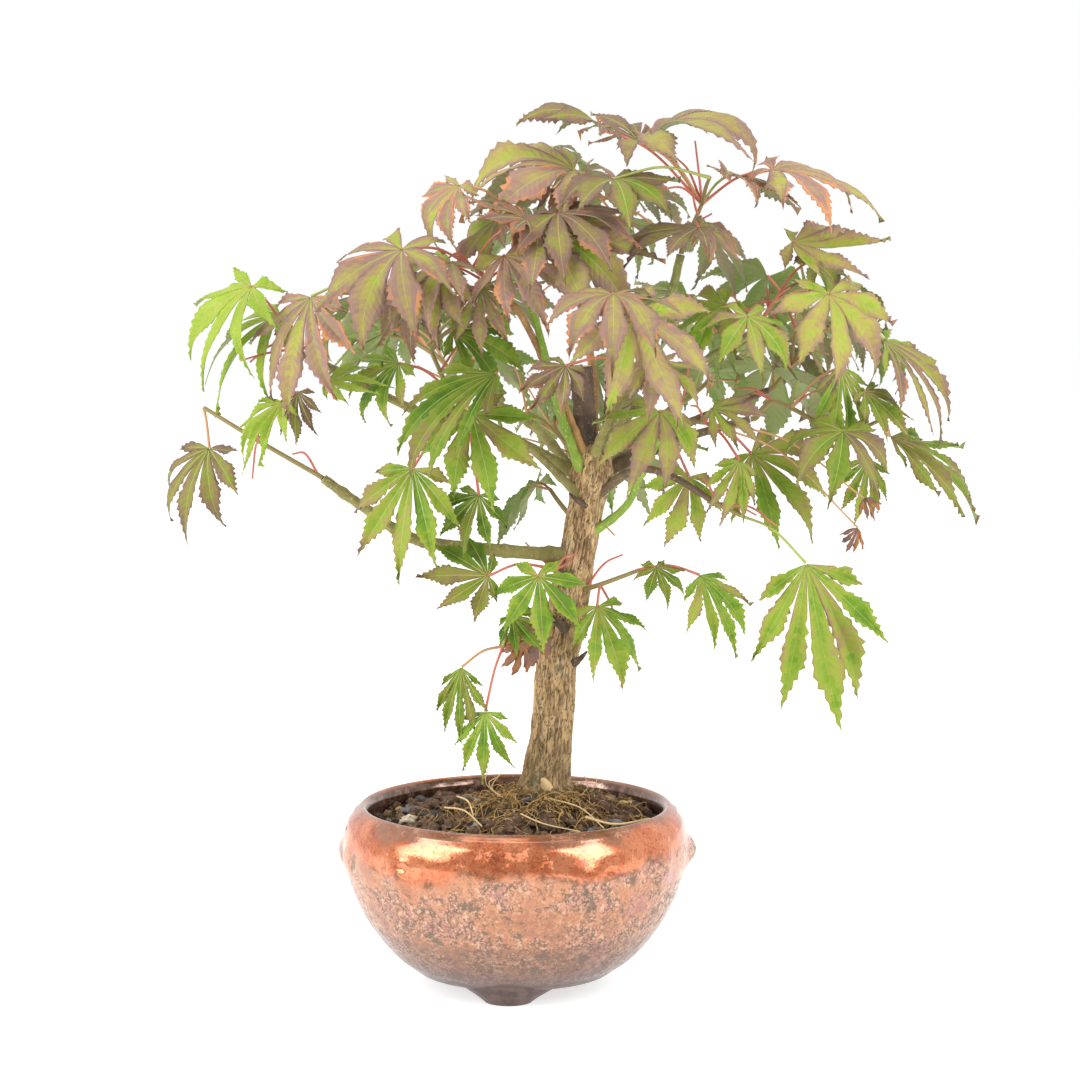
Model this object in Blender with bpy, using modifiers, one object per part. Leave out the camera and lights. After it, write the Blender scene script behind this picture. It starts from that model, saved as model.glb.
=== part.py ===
"""Bonsai maple in a glazed bowl pot that stands on three small feet.

Sizes are millimetres in the pot's own frame: the pot's axis is x = y = 0, its feet stand on z = 0,
+x runs to the right and -y to the front. Everything hangs from one empty, which is moved at the end
so that the middle of the whole plant's box stands over the origin.
"""

import math
import random
from typing import NamedTuple

import bmesh
import bpy
from mathutils import Vector
from mathutils.bvhtree import BVHTree

MM = 0.001
GAP = 0.3  # clearance between two solids that meet

# Pot
POT_SEGMENTS = 44
POT_HEIGHT = 63.0
BASE_HEIGHT = 5.5
POT_PROFILE = (  # radius and height: inner floor, inner wall, lip, then down the outer side
    (0, 10), (26, 11.5), (40, 19), (48.5, 31), (51.5, 44), (51, 54), (50.4, 60),
    (52.6, POT_HEIGHT), (55.6, 61.2), (58.2, 57.4), (59.5, 52), (59.6, 47),
    (58.6, 41.5), (55.6, 31.5), (50.2, 21.5), (42.5, 12), (34, BASE_HEIGHT), (0, BASE_HEIGHT),
)
INNER_WALL = POT_PROFILE[:5]
LIP_MIDDLE = 53.0  # the outer wall is further out than this
BOSSES = 11  # soft pinches round the shoulder
BOSS_HEIGHT = 46.5
BOSS_SPREAD = 5.5
BOSS_DEPTH = 0.9
LUG_DEPTH = 2.4  # the two side pinches stand further out
LUG_WIDTH = 0.012  # as a share, across the cosine of the turn round the pot
FOOT_ANGLES = (-95, 25, 145)
FOOT_CIRCLE = 28.0
FOOT_SIDES = 12
FOOT_PROFILE = (  # height, half its length round the base, half its depth
    (0, 6.8, 5.0), (2, 8.4, 5.8), (4, 12, 7), (5.6, 17, 8), (7.4, 22, 9), (10, 24, 9),
)

# Soil
SOIL_SEGMENTS = 32
SOIL_GAP = 0.5  # from the pot's wall, a little more than GAP as the facets are flatter than the curve
SOIL_EDGE = 57.0
SOIL_TOP = 66.5
SOIL_RINGS = (50.0, 46.5, 43.0, 39.5, 36.0, 32.0, 28.0, 23.5, 18.5, 13.0, 0.0)
MOUND_RADIUS = 26.0
MOUND_PLATEAU = 1.2  # above 1, so that the mound is level under the trunk
LUMP_SPACING = 14.0
LUMP_HEIGHT = 1.1  # above and below the mound's own level
LUMP_FREE = 12.0  # level this far from the trunk's middle
LUMP_FULL = 18.0

# Trunk: x, y, height and radius from the flat cut at the soil to the fork
TRUNK = (
    (9.2, 0.0, SOIL_TOP + GAP, 10.2), (10.2, 0.3, 72.0, 8.3), (12.6, 0.8, 90.0, 7.0),
    (13.8, 1.4, 108.0, 6.9), (16.2, 1.8, 122.0, 7.1), (19.9, 1.6, 141.0, 6.4),
    (24.0, 0.6, 165.0, 5.9), (26.0, 0.0, 178.0, 6.6), (26.6, 0.0, 186.0, 6.1),
)
TRUNK_SIDES = 12
ROOT_RIDGES = 5
RIDGE_DEPTH = 0.13
RIDGE_HEIGHT = 12.0

LIMB_SIDES = 6
STEM_SIDES = 4
TWIG_SIDES = 3
STEM_RADIUS = 0.95
TWIG_RADIUS = 0.75
PETIOLE_RADIUS = 0.5

# Every limb: radius at its foot and tip, and the way that it takes
LIMBS = {
    "leader_stub": (4.0, 3.8, ((24.0, 1, 186.3), (23.4, 1, 200), (22.5, 1, 214))),
    "dead_stub": (1.6, 1.1, ((31.0, 0, 186.3), (31.8, 0, 200), (32.2, 0, 213))),
    "bough_green": (2.3, 1.4, ((27, -1, 176), (37, -3, 200), (51, -4, 233), (56, -5, 252))),
    "bough_left_shoot": (1.7, 1.1, ((25, -2, 172), (15, -8, 200), (7, -10, 230), (2, -10, 241))),
    "bough_left_long": (2.0, 1.2, (
        (25, 1, 175), (-1, 2, 189), (-29, 1, 197), (-52, 0, 208), (-67, 0, 216))),
    "bough_left_up": (1.5, 1.0, ((24, -2, 168), (4, -12, 188), (-15, -15, 199))),
    "bough_brown": (1.5, 1.0, ((25, -2, 180), (15, -5, 205), (2, -12, 232), (-7, -13, 241))),
    "bough_low_left": (2.4, 1.6, (
        (21, 0, 149), (-8, -6, 152), (-34, -9, 156), (-50, -9, 166), (-65, -5, 176))),
    "bough_right_dark": (1.9, 1.2, ((26, 1, 176), (45, 1, 184), (59, 0, 190), (80, 0, 196))),
    "bough_right_low": (1.6, 1.0, ((25, -1, 168), (40, -7, 179), (52, -12, 178), (66, -15, 170))),
    "bough_right_up": (1.7, 1.1, ((26, 2, 182), (42, 6, 200), (62, 5, 214), (78, 2, 224))),
    "bough_green_low": (1.5, 1.0, ((22, 0, 154), (37, -5, 166), (43, -8, 178), (49, -8, 190))),
    "bough_front": (1.6, 1.0, ((26, -1, 181), (30, -14, 193), (35, -24, 204), (40, -30, 214))),
    "bough_back_left": (2.0, 1.1, ((25, 1, 170), (8, 26, 190), (-18, 48, 204))),
    "bough_back_right": (2.0, 1.1, ((26, 1, 170), (42, 28, 188), (62, 52, 200))),
    "bough_back_high": (1.9, 1.1, ((26, 2, 180), (27, 22, 208), (22, 38, 238))),
    "bough_back_far": (1.8, 1.1, ((26, 2, 175), (52, 14, 190), (88, 28, 204))),
    "bough_back_low": (1.6, 1.0, ((23, 1, 158), (24, 26, 170), (20, 46, 178))),
}
TRUNK_TOP_STUBS = ("leader_stub", "dead_stub")
SPAN_STEPS = 3  # rings between two points of a limb's way

# Leaf blade: each lobe's angle off the middle one, and its length as a share of the blade
LOBES = ((0, 1.0), (36, 0.88), (76, 0.66), (122, 0.36))
LOBE_HALF_WIDTH = 0.105
LOBE_WIDEST = 0.56
SINUS = 0.31
NOTCH = 0.05
HEART = 0.03  # where the blade is thickest: near its foot, so that no lobe hides another from there
FOLD = 0.28
ARCH = 0.25  # how steeply a lobe first rises, as a share of its bend
OPEN_SPREAD = 0.85  # a leaf folded closer than this has narrower lobes
BLADE_THICKNESS = 0.9
BLADE_LENGTH = (25.0, 41.0)
BLADE_BEND = (0.4, 1.3)
BLADE_SPREAD = (0.65, 1.0)
PETIOLE_ROOT = 0.55  # how far a petiole runs on inside its blade, as a share of the way to its heart
PETIOLE_ARCH = 0.12
GOLDEN_ANGLE = math.radians(137.5)

# How the masses fill: shares are of a mass's reach
TWIG_RISE = (0.1, 0.6)
TWIG_LENGTH = (0.3, 0.5)
TWIG_LOOK = 0.4  # how much a twig turns to where the mass looks
PETIOLE_RISE = (-0.3, 0.7)
PETIOLE_LENGTH = (0.25, 0.63)
PETIOLE_LOOK = 0.7
LEAF_DROOP = (0.3, 1.1)
LEAF_OUTWARD = 0.4  # how much a leaf's face turns outwards
TIP_REACH = 1.3  # how far a leaf's tip may reach
TRIES = 40
SLIDE = 3.0  # a marked leaf that isn't clear moves by this to the front and back in turn
SLIDES = 19


class Mass(NamedTuple):
    """One mass of foliage: what it grows from, its stem's way, where its leaves look, how many
    further leaves it has and how far they reach, and the marked leaves that shape its outline. Each
    of these has its blade's foot and tip (x, y, z), its bend in radians and its lobes' spread."""

    limb: str
    way: tuple
    look: tuple
    more: int
    reach: float
    leaves: tuple = ()


MASSES = {
    "leaves_top": Mass("bough_green", ((60, -5, 262), (63, -5, 269)),
        (0.0, -0.2, 1.0), 2, 42, (
        (46, -5, 289, 89, -14, 281, 2.2, 0.9), (42, 6, 290, 26, 26, 298, 0.9, 0.8),
        (29, 0, 294, -1, -10, 298, 1.2, 0.9), (33, -18, 277, 38, -46, 262, 0.9, 1.0),
        (61, -20, 261, 33, -34, 252, 0.4, 0.9), (87, 0, 280, 124, -8, 263, 1.0, 0.9),
        (62, -16, 262, 76, -24, 250, 0.5, 0.8))),
    "leaves_crown_left": Mass("bough_left_shoot", ((6, -12, 250), (9, -15, 258)),
        (-0.1, -0.5, 0.9), 3, 36, (
        (20, -10, 280, -24, -22, 267, 1.3, 0.8), (4, -20, 264, -18, -27, 272, 0.3, 0.8),
        (8, -30, 262, 46, -50, 236, 0.4, 0.7), (-11, -18, 241, -12, -27, 219, 0.4, 0.7))),
    "leaves_drape": Mass("bough_brown", ((-10, -14, 245), (-14, -15, 248)),
        (-0.3, -0.6, 0.8), 2, 40, (
        (-37, -20, 254, -54, -36, 221, 1.0, 1.0), (-68, -16, 238, -77, -26, 196, 0.6, 0.65),
        (-24, -20, 246, -28, -32, 222, 0.6, 0.7), (-30, -2, 245, -36, -8, 214, 0.8, 0.7))),
    "leaves_left_mid": Mass("bough_left_up", ((-22, -15, 207), (-28, -15, 220)),
        (-0.2, -0.9, 0.5), 2, 34, (
        (-14, -28, 200, -5, -38, 168, 0.5, 0.9), (-34, -20, 181, -40, -30, 143, 0.3, 0.65),
        (-6, -24, 213, -43, -34, 178, 1.3, 0.3), (-12, -20, 172, -19, -26, 152, 0.3, 0.8))),
    "leaves_far_left": Mass("bough_left_long", ((-71, 0, 218), (-75, 0, 220)),
        (-0.4, -0.5, 0.8), 0, 30, (
        (-89, 0, 241, -108, -8, 206, 0.9, 0.85), (-80, -6, 231, -101, -16, 196, 1.3, 0.8),
        (-64, -8, 209, -41, -14, 212, 0.2, 0.6), (-78, -14, 203, -93, -24, 180, 0.5, 0.6))),
    "leaves_low_left": Mass("bough_low_left", ((-87, -5, 189), (-106, 0, 200)),
        (-0.4, -0.7, 0.6), 0, 30, (
        (-104, -2, 186, -112, -12, 154, 1.1, 0.7), (-73, -14, 206, -74, -19, 188, 0.3, 0.7))),
    "leaves_trunk_left": Mass("trunk", ((16, 1, 121), (8, -8, 121), (-4, -14, 120)),
        (-0.3, -0.9, 0.4), 0, 24, (
        (-10, -18, 98, -10, -24, 74, 0.3, 0.6), (-18, -16, 113, -19, -20, 86, 0.3, 0.4),
        (-1, -18, 131, 9, -24, 119, 0.3, 0.8))),
    "leaves_trunk_front": Mass("trunk", ((19, 1, 138), (15, -9, 144), (11, -15, 147)),
        (0.0, -0.9, 0.4), 0, 24, (
        (8, -23, 145, 10, -33, 120, 0.3, 1.0), (-9, -22, 145, -34, -28, 146, 0.2, 0.9))),
    "leaves_trunk_right": Mass("trunk", ((19, 1, 136), (29, -6, 140), (42, -7, 145)),
        (0.3, -0.8, 0.5), 0, 24, (
        (28, -10, 133, 38, -20, 106, 0.3, 0.7), (48, -9, 146, 53, -18, 134, 0.3, 1.0),
        (63, -5, 143, 77, -12, 116, 0.6, 0.5))),
    "leaves_right_low": Mass("bough_right_low", ((72, -17, 167), (76, -19, 165)),
        (0.1, -0.9, 0.4), 0, 26, (
        (97, -30, 150, 106, -44, 95, 0.35, 0.5),)),
    "leaves_right_fold": Mass("bough_green_low", ((55, -10, 196), (64, -16, 196)),
        (0.2, -0.8, 0.5), 1, 34, (
        (75, -24, 184, 69, -32, 162, 0.3, 0.5), (80, -8, 185, 106, -14, 156, 0.5, 0.8),
        (59, -4, 177, 52, -8, 152, 0.4, 0.8), (66, -20, 201, 84, -30, 192, 0.5, 0.7))),
    "leaves_right": Mass("bough_right_dark", ((88, 0, 202), (101, 0, 196), (114, 0, 188)),
        (0.2, -0.5, 0.8), 2, 36, (
        (128, 0, 190, 164, -5, 168, 0.25, 0.4), (110, -6, 214, 114, -12, 180, 0.4, 0.45),
        (121, 4, 182, 116, 2, 158, 0.8, 0.5), (118, -2, 206, 134, -8, 190, 0.4, 0.7))),
    "leaves_right_upper": Mass("bough_right_up", ((84, 1, 230), (88, 0, 236)),
        (0.2, -0.5, 0.8), 2, 38, (
        (94, 0, 256, 126, -8, 258, -0.6, 0.8), (77, -28, 232, 80, -44, 211, 0.8, 1.0),
        (105, -15, 239, 109, -33, 207, 0.9, 0.9), (125, -2, 223, 151, -9, 189, 0.7, 0.4))),
    "leaves_front": Mass("bough_front", ((41, -36, 220), (40, -41, 226)),
        (0.0, -0.7, 0.7), 2, 34, (
        (38, -48, 234, 55, -60, 197, 0.5, 1.0), (17, -30, 216, 6, -40, 201, 0.4, 0.8))),
    "leaves_back_left": Mass("bough_back_left", ((-24, 53, 210), (-32, 58, 218)), (-0.3, 0.7, 0.7), 7, 46),
    "leaves_back_right": Mass("bough_back_right", ((70, 60, 206), (78, 66, 214)), (0.3, 0.7, 0.7), 7, 46),
    "leaves_back_high": Mass("bough_back_high", ((20, 44, 248), (18, 48, 258)), (0.0, 0.4, 0.9), 8, 48),
    "leaves_back_far": Mass("bough_back_far", ((96, 31, 212), (103, 33, 222)), (0.5, 0.4, 0.8), 6, 43),
    "leaves_back_low": Mass("bough_back_low", ((18, 54, 182), (14, 60, 188)), (0.0, 0.8, 0.5), 5, 45),
    "leaves_trunk_back": Mass("trunk", ((23, 1, 158), (16, 14, 165), (12, 20, 170)),
        (-0.3, 0.3, 0.9), 1, 26, (
        (8, 22, 172, -8, 22, 150, 0.4, 0.9),)),
}

# Materials: colour, roughness and metallic value
FINISHES = {
    "copper_glaze": ((0.50, 0.20, 0.10), 0.2, 0.0),
    "soil": ((0.10, 0.07, 0.05), 0.95, 0.0),
    "bark": ((0.30, 0.21, 0.13), 0.9, 0.0),
    "green_wood": ((0.27, 0.28, 0.10), 0.6, 0.0),
    "leaf_green": ((0.22, 0.36, 0.09), 0.55, 0.0),
    "leaf_bronze": ((0.27, 0.19, 0.16), 0.55, 0.0),
}
BRONZE_MASSES = ("leaves_top", "leaves_drape", "leaves_crown_left", "leaves_front")
GREEN_LIMBS = ("bough_green", "bough_left_shoot", "bough_green_low")


def clear_scene():
    for old in list(bpy.data.objects):
        bpy.data.objects.remove(old, do_unlink=True)


def finish_named(name):
    if name in bpy.data.materials:
        return bpy.data.materials[name]
    colour, roughness, metallic = FINISHES[name]
    material = bpy.data.materials.new(name)
    material.use_nodes = True
    shader = material.node_tree.nodes["Principled BSDF"]
    shader.inputs["Base Color"].default_value = (*colour, 1)
    shader.inputs["Roughness"].default_value = roughness
    shader.inputs["Metallic"].default_value = metallic
    return material


def solid_object(name, shape, collection):
    """An object from a shape of (points in millimetres, faces)."""
    points, faces = shape
    mesh = bpy.data.meshes.new(name)
    mesh.from_pydata([point * MM for point in points], [], faces)
    mesh.update()
    made = bpy.data.objects.new(name, mesh)
    collection.objects.link(made)
    return made


def apply_modifiers(made):
    """The object's mesh becomes what its modifiers make of it."""
    graph = bpy.context.evaluated_depsgraph_get()
    mesh = bpy.data.meshes.new_from_object(made.evaluated_get(graph))
    made.modifiers.clear()
    made.data = mesh


def signed_volume(faces):
    total = 0.0
    for face in faces:
        first = face.verts[0].co
        for a, b in zip(face.verts[1:-1], face.verts[2:]):
            total += first.dot(a.co.cross(b.co))
    return total


def keep_largest_body(made):
    """Loose scraps and the walls of sealed hollows go, so that one filled body is left."""
    bm = bmesh.new()
    bm.from_mesh(made.data)
    seen = set()
    bodies = []
    for start in bm.verts:
        if start in seen:
            continue
        body, front = {start}, [start]
        while front:
            for edge in front.pop().link_edges:
                for vert in edge.verts:
                    if vert not in body:
                        body.add(vert)
                        front.append(vert)
        seen |= body
        bodies.append(body)
    volumes = [signed_volume({face for vert in body for face in vert.link_faces}) for body in bodies]
    kept = bodies[volumes.index(max(volumes))]
    bmesh.ops.delete(bm, geom=[vert for vert in bm.verts if vert not in kept], context="VERTS")
    bm.to_mesh(made.data)
    bm.free()


def boolean(made, operation, shapes, helpers):
    """One Boolean with all the shapes at once, applied, and the shapes' objects removed."""
    for index, shape in enumerate(shapes):
        solid_object(f"{made.name}_{operation}_{index}", shape, helpers)
    modifier = made.modifiers.new(operation, "BOOLEAN")
    modifier.operation = operation
    modifier.operand_type = "COLLECTION"
    modifier.collection = helpers
    modifier.solver = "MANIFOLD" if made.name in MASSES else "EXACT"
    bpy.context.view_layer.update()
    apply_modifiers(made)
    for helper in list(helpers.objects):
        bpy.data.objects.remove(helper, do_unlink=True)
    keep_largest_body(made)


# ---------------------------------------------------------------- how the plant grows

def smooth_way(points, steps):
    """A Catmull-Rom curve through the points, with this many steps between two of them."""
    points = [Vector(point) for point in points]
    padded = [points[0] * 2 - points[1], *points, points[-1] * 2 - points[-2]]
    way = []
    for i in range(len(points) - 1):
        a, b, c, d = padded[i:i + 4]
        for step in range(steps):
            t = step / steps
            way.append(0.5 * (2 * b + (c - a) * t + (2 * a - 5 * b + 4 * c - d) * t ** 2
                              + (3 * b - a - 3 * c + d) * t ** 3))
    return way + [points[-1]]


def tapered(count, start, end):
    return [start + (end - start) * i / (count - 1) for i in range(count)]


def ring_faces(rings, sides):
    """The faces of a closed tube whose rings follow one another, with a flat face at each end."""
    last = (rings - 1) * sides
    faces = [tuple(range(sides - 1, -1, -1)), tuple(range(last, last + sides))]
    for ring in range(0, last, sides):
        for k in range(sides):
            a, b = ring + k, ring + (k + 1) % sides
            faces.append((a, b, b + sides, a + sides))
    return faces


def sweep(way, radii, sides):
    """A closed tube round a way, as (points, faces)."""
    points = []
    side = None
    for i, centre in enumerate(way):
        ahead = (way[min(i + 1, len(way) - 1)] - way[max(i - 1, 0)]).normalized()
        side = ahead.orthogonal() if side is None else side - ahead * side.dot(ahead)
        side.normalize()
        across = ahead.cross(side)
        for k in range(sides):
            turn = math.tau * k / sides
            points.append(centre + (side * math.cos(turn) + across * math.sin(turn)) * radii[i])
    return points, ring_faces(len(way), sides)


def limb_shape(name, extra=0.0):
    foot, tip, points = LIMBS[name]
    way = smooth_way(points, SPAN_STEPS)
    return sweep(way, tapered(len(way), foot + extra, tip + extra), LIMB_SIDES)


def trunk_shape(extra=0.0):
    """Level rings up the trunk, ridged at the root flare."""
    points = []
    foot = TRUNK[0][2]
    for x, y, z, radius in TRUNK:
        ridge = RIDGE_DEPTH * math.exp(-(z - foot) / RIDGE_HEIGHT)
        for k in range(TRUNK_SIDES):
            turn = math.tau * k / TRUNK_SIDES
            reach = radius * (1 + ridge * math.cos(ROOT_RIDGES * turn)) + extra
            points.append(Vector((x + reach * math.cos(turn), y + reach * math.sin(turn), z)))
    return points, ring_faces(len(TRUNK), TRUNK_SIDES)


class Leaf(NamedTuple):
    root: Vector
    foot: Vector
    ahead: Vector
    up: Vector
    length: float
    bend: float
    spread: float


def leaf_towards(root, foot, tip, look, bend, spread):
    """A leaf whose middle lobe bends over from foot to tip, and whose upper face turns to look."""
    chord = (tip - foot).normalized()
    face = (look - chord * look.dot(chord)).normalized()
    half = bend / 2
    tilt = half - ARCH * bend
    ahead = chord * math.cos(tilt) + face * math.sin(tilt)
    up = face * math.cos(tilt) - chord * math.sin(tilt)
    return Leaf(root, foot, ahead, up, (tip - foot).length * half / math.sin(half), bend, spread)


def blade_outline(length, spread):
    """The blade's edge in its own plane, clockwise from the notch at its foot."""
    lobes = [(-angle, share) for angle, share in reversed(LOBES[1:])] + list(LOBES)
    outline = [(0.0, -NOTCH * length, 0.0)]
    for i, (angle, share) in enumerate(lobes):
        turn = math.radians(angle * spread)
        along = Vector((math.sin(turn), math.cos(turn)))
        across = Vector((along.y, -along.x))
        size = share * length
        if i:
            between = math.radians((angle + lobes[i - 1][0]) / 2 * spread)
            depth = SINUS * length * (share + lobes[i - 1][1]) / 2
            outline.append((depth * math.sin(between), depth * math.cos(between), 0.0))
        basal = abs(angle) == LOBES[-1][0]
        half = 0 if basal else LOBE_HALF_WIDTH * length * math.sqrt(share) * min(1, spread / OPEN_SPREAD)
        middle = along * size * LOBE_WIDEST
        if not basal:
            left = middle - across * half
            outline.append((left.x, left.y, half * FOLD))
        outline.append((along.x * size, along.y * size, 0.0))
        if not basal:
            right = middle + across * half
            outline.append((right.x, right.y, half * FOLD))
    return outline


def bent(leaf, x, y, z):
    """A point of the flat blade, carried along the arc that every lobe rises and bends down on."""
    away = math.hypot(x, y)
    if away < 1e-6:
        return leaf.foot + leaf.up * z
    radius = leaf.length / leaf.bend
    start = ARCH * leaf.bend
    slope = start - leaf.bend * away / leaf.length
    level = radius * (math.sin(start) - math.sin(slope)) - z * math.sin(slope)
    height = radius * (math.cos(slope) - math.cos(start)) + z * math.cos(slope)
    side = leaf.ahead.cross(leaf.up)
    return leaf.foot + (side * x + leaf.ahead * y) * (level / away) + leaf.up * height


def blade_shape(leaf, lift=0.0):
    """The thin blade as (points, faces): a knife edge all round, thickest where its ribs meet."""
    points = [bent(leaf, x, y, z + lift) for x, y, z in blade_outline(leaf.length, leaf.spread)]
    count = len(points)
    for half in (BLADE_THICKNESS / 2, -BLADE_THICKNESS / 2):
        points.append(bent(leaf, 0.0, HEART * leaf.length, half + lift))
    faces = []
    for i in range(count):
        after = (i + 1) % count
        faces.append((count, after, i))
        faces.append((count + 1, i, after))
    return points, faces


def petiole_way(leaf):
    middle = (leaf.root + leaf.foot) / 2 + Vector((0, 0, PETIOLE_ARCH * (leaf.foot - leaf.root).length))
    toe, heart = (bent(leaf, 0.0, share * leaf.length, 0.0) for share in (-NOTCH, HEART))
    return [leaf.root, middle, toe.lerp(heart, PETIOLE_ROOT)]


def petiole_shape(leaf, extra=0.0):
    return sweep(petiole_way(leaf), [PETIOLE_RADIUS + extra] * 3, TWIG_SIDES)


def tree_of(*shapes):
    points, faces = [], []
    for shape_points, shape_faces in shapes:
        faces += [tuple(i + len(points) for i in face) for face in shape_faces]
        points += shape_points
    return BVHTree.FromPolygons(points, faces)


def leaf_is_clear(leaf, taken, own):
    """Whether a leaf with a little room round it touches nothing that is there already."""
    blades = [blade_shape(leaf, lift) for lift in (-2 * GAP, 0, 2 * GAP)]
    whole = tree_of(*blades, petiole_shape(leaf, 2 * GAP))
    if any(whole.overlap(other) for other in taken):
        return False
    blade = tree_of(*blades)
    return not any(blade.overlap(other) for other in own)


def stem_way(mass):
    """The mass's stem, from just past its limb's tip, or from inside the trunk, where it's cut off."""
    if mass.limb == "trunk":
        return smooth_way(mass.way, 2)
    limb = smooth_way(LIMBS[mass.limb][2], SPAN_STEPS)
    ahead = (limb[-1] - limb[-2]).normalized()
    tip = limb[-1]
    return [tip + ahead * GAP, *smooth_way((tip + ahead * (GAP + 2), *mass.way), 2)]


def twigs_of(mass, stem, draw):
    """Side twigs up the stem, each turned on from the last by the golden angle."""
    twigs = []
    turn = draw.uniform(0, math.tau)
    for i in range(mass.more // 2):
        place = stem[-1 - i % (len(stem) - 1)]
        turn += GOLDEN_ANGLE
        heading = Vector((math.cos(turn), math.sin(turn), draw.uniform(*TWIG_RISE))).normalized()
        heading = (heading + Vector(mass.look) * TWIG_LOOK).normalized()
        twigs.append([place, place + heading * draw.uniform(*TWIG_LENGTH) * mass.reach])
    return twigs


def marked_leaf(mass, nodes, row, taken, own):
    """A leaf of the outline: it is slid a little to the front or back until it is clear."""
    foot, tip = Vector(row[:3]), Vector(row[3:6])
    look = Vector(mass.look)
    root = min(nodes, key=lambda node: (node - foot).length)
    for step in range(SLIDES):
        slide = Vector((0, (step + 1) // 2 * SLIDE * (-1) ** step, 0))
        leaf = leaf_towards(root, foot + slide, tip + slide, look, *row[6:])
        if leaf_is_clear(leaf, taken, own):
            return leaf
    return None


def further_leaf(mass, nodes, number, draw, taken, own):
    """A leaf by rule: it leaves its node outwards, droops, and stays in the mass's own space."""
    heart = nodes[0]
    for _ in range(TRIES):
        root = nodes[number % len(nodes)]
        turn = draw.uniform(0, math.tau)
        heading = Vector((math.cos(turn), math.sin(turn), draw.uniform(*PETIOLE_RISE)))
        heading = (heading + Vector(mass.look) * PETIOLE_LOOK).normalized()
        foot = root + heading * draw.uniform(*PETIOLE_LENGTH) * mass.reach
        level = Vector((heading.x, heading.y, 0)).normalized()
        droop = draw.uniform(*LEAF_DROOP)
        length = draw.uniform(*BLADE_LENGTH)
        tip = foot + (level * math.cos(droop) - Vector((0, 0, math.sin(droop)))) * length
        look = Vector(mass.look) + level * LEAF_OUTWARD
        bend, spread = draw.uniform(*BLADE_BEND), draw.uniform(*BLADE_SPREAD)
        if (foot - heart).length > mass.reach or (tip - heart).length > TIP_REACH * mass.reach:
            continue
        leaf = leaf_towards(root, foot, tip, look, bend, spread)
        if leaf_is_clear(leaf, taken, own):
            return leaf
    return None


def grow(name, taken):
    """The mass's stem, twigs and leaves; what would touch a neighbour is skipped."""
    mass = MASSES[name]
    draw = random.Random(name)
    stem = stem_way(mass)
    twigs = []
    for twig in twigs_of(mass, stem, draw):
        room = tree_of(sweep(twig, [TWIG_RADIUS + 2 * GAP] * 2, TWIG_SIDES))
        if not any(room.overlap(other) for other in taken):
            twigs.append(twig)
    nodes = [stem[-1], stem[len(stem) // 2], *(twig[-1] for twig in twigs)]
    if mass.limb != "trunk":
        nodes.append(stem[1])
    own, leaves = [], []
    for number in range(len(mass.leaves) + mass.more):
        if number < len(mass.leaves):
            leaf = marked_leaf(mass, nodes, mass.leaves[number], taken, own)
        else:
            leaf = further_leaf(mass, nodes, number, draw, taken, own)
        if leaf:
            leaves.append(leaf)
            own.append(tree_of(blade_shape(leaf)))
    return stem, twigs, leaves


# ---------------------------------------------------------------- the solids

def turned_object(name, profile, segments, parts):
    """A solid of revolution from (radius, height) points that start and end on the axis."""
    mesh = bpy.data.meshes.new(name)
    edges = [(i, i + 1) for i in range(len(profile) - 1)]
    mesh.from_pydata([(radius * MM, 0, z * MM) for radius, z in profile], edges, [])
    made = bpy.data.objects.new(name, mesh)
    parts.objects.link(made)
    turned = made.modifiers.new("turned", "SCREW")
    turned.steps = turned.render_steps = segments
    turned.use_merge_vertices = True
    turned.merge_threshold = 0.00001
    apply_modifiers(made)
    return made


def make_pot(parts, helpers):
    pot = turned_object("pot", POT_PROFILE, POT_SEGMENTS, parts)
    for vert in pot.data.vertices:
        bulge = vert.co.xy.normalized() * shoulder_bulge(vert.co / MM) * MM
        vert.co += bulge.to_3d()
    boolean(pot, "UNION", [foot_shape(math.radians(angle)) for angle in FOOT_ANGLES], helpers)


def shoulder_bulge(point):
    """How far the pinches push the pot's outer wall out at this point, in millimetres."""
    radius = point.xy.length
    if radius < LIP_MIDDLE:
        return 0.0
    turn = math.atan2(point.y, point.x)
    boss = max(0.0, math.cos(BOSSES * turn)) ** 2
    side = math.exp(-((abs(math.cos(turn)) - 1) / LUG_WIDTH) ** 2)
    near = math.exp(-((point.z - BOSS_HEIGHT) / BOSS_SPREAD) ** 2)
    return (BOSS_DEPTH * boss + (LUG_DEPTH - BOSS_DEPTH) * side) * near


def foot_shape(turn):
    """A short foot that flares up into the pot's base, with a flat underside."""
    out = Vector((math.cos(turn), math.sin(turn), 0))
    along = Vector((-out.y, out.x, 0))
    points = []
    for z, half_length, half_depth in FOOT_PROFILE:
        middle = out * FOOT_CIRCLE + Vector((0, 0, z))
        for k in range(FOOT_SIDES):
            angle = math.tau * k / FOOT_SIDES
            sideways = half_length * math.sin(angle)
            bow = FOOT_CIRCLE - math.sqrt(FOOT_CIRCLE ** 2 - sideways ** 2)
            points.append(middle + out * (math.cos(angle) * half_depth - bow) + along * sideways)
    return points, ring_faces(len(FOOT_PROFILE), FOOT_SIDES)


def soil_height(x, y):
    """The lumpy mound round the trunk's foot, from the level that meets the wall."""
    away = math.hypot(x - TRUNK[0][0], y - TRUNK[0][1])
    rise = math.exp(-(away / MOUND_RADIUS) ** 2) * MOUND_PLATEAU
    mound = SOIL_EDGE + (SOIL_TOP - SOIL_EDGE) * min(1.0, rise)
    share = min(1.0, max(0.0, (away - LUMP_FREE) / (LUMP_FULL - LUMP_FREE)))
    turn = math.tau / LUMP_SPACING
    lumps = math.sin(turn * x + 0.8 * math.sin(turn * y / 2)) * math.sin(turn * y + 0.8 * math.sin(turn * x / 2))
    return mound + LUMP_HEIGHT * share * lumps


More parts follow.
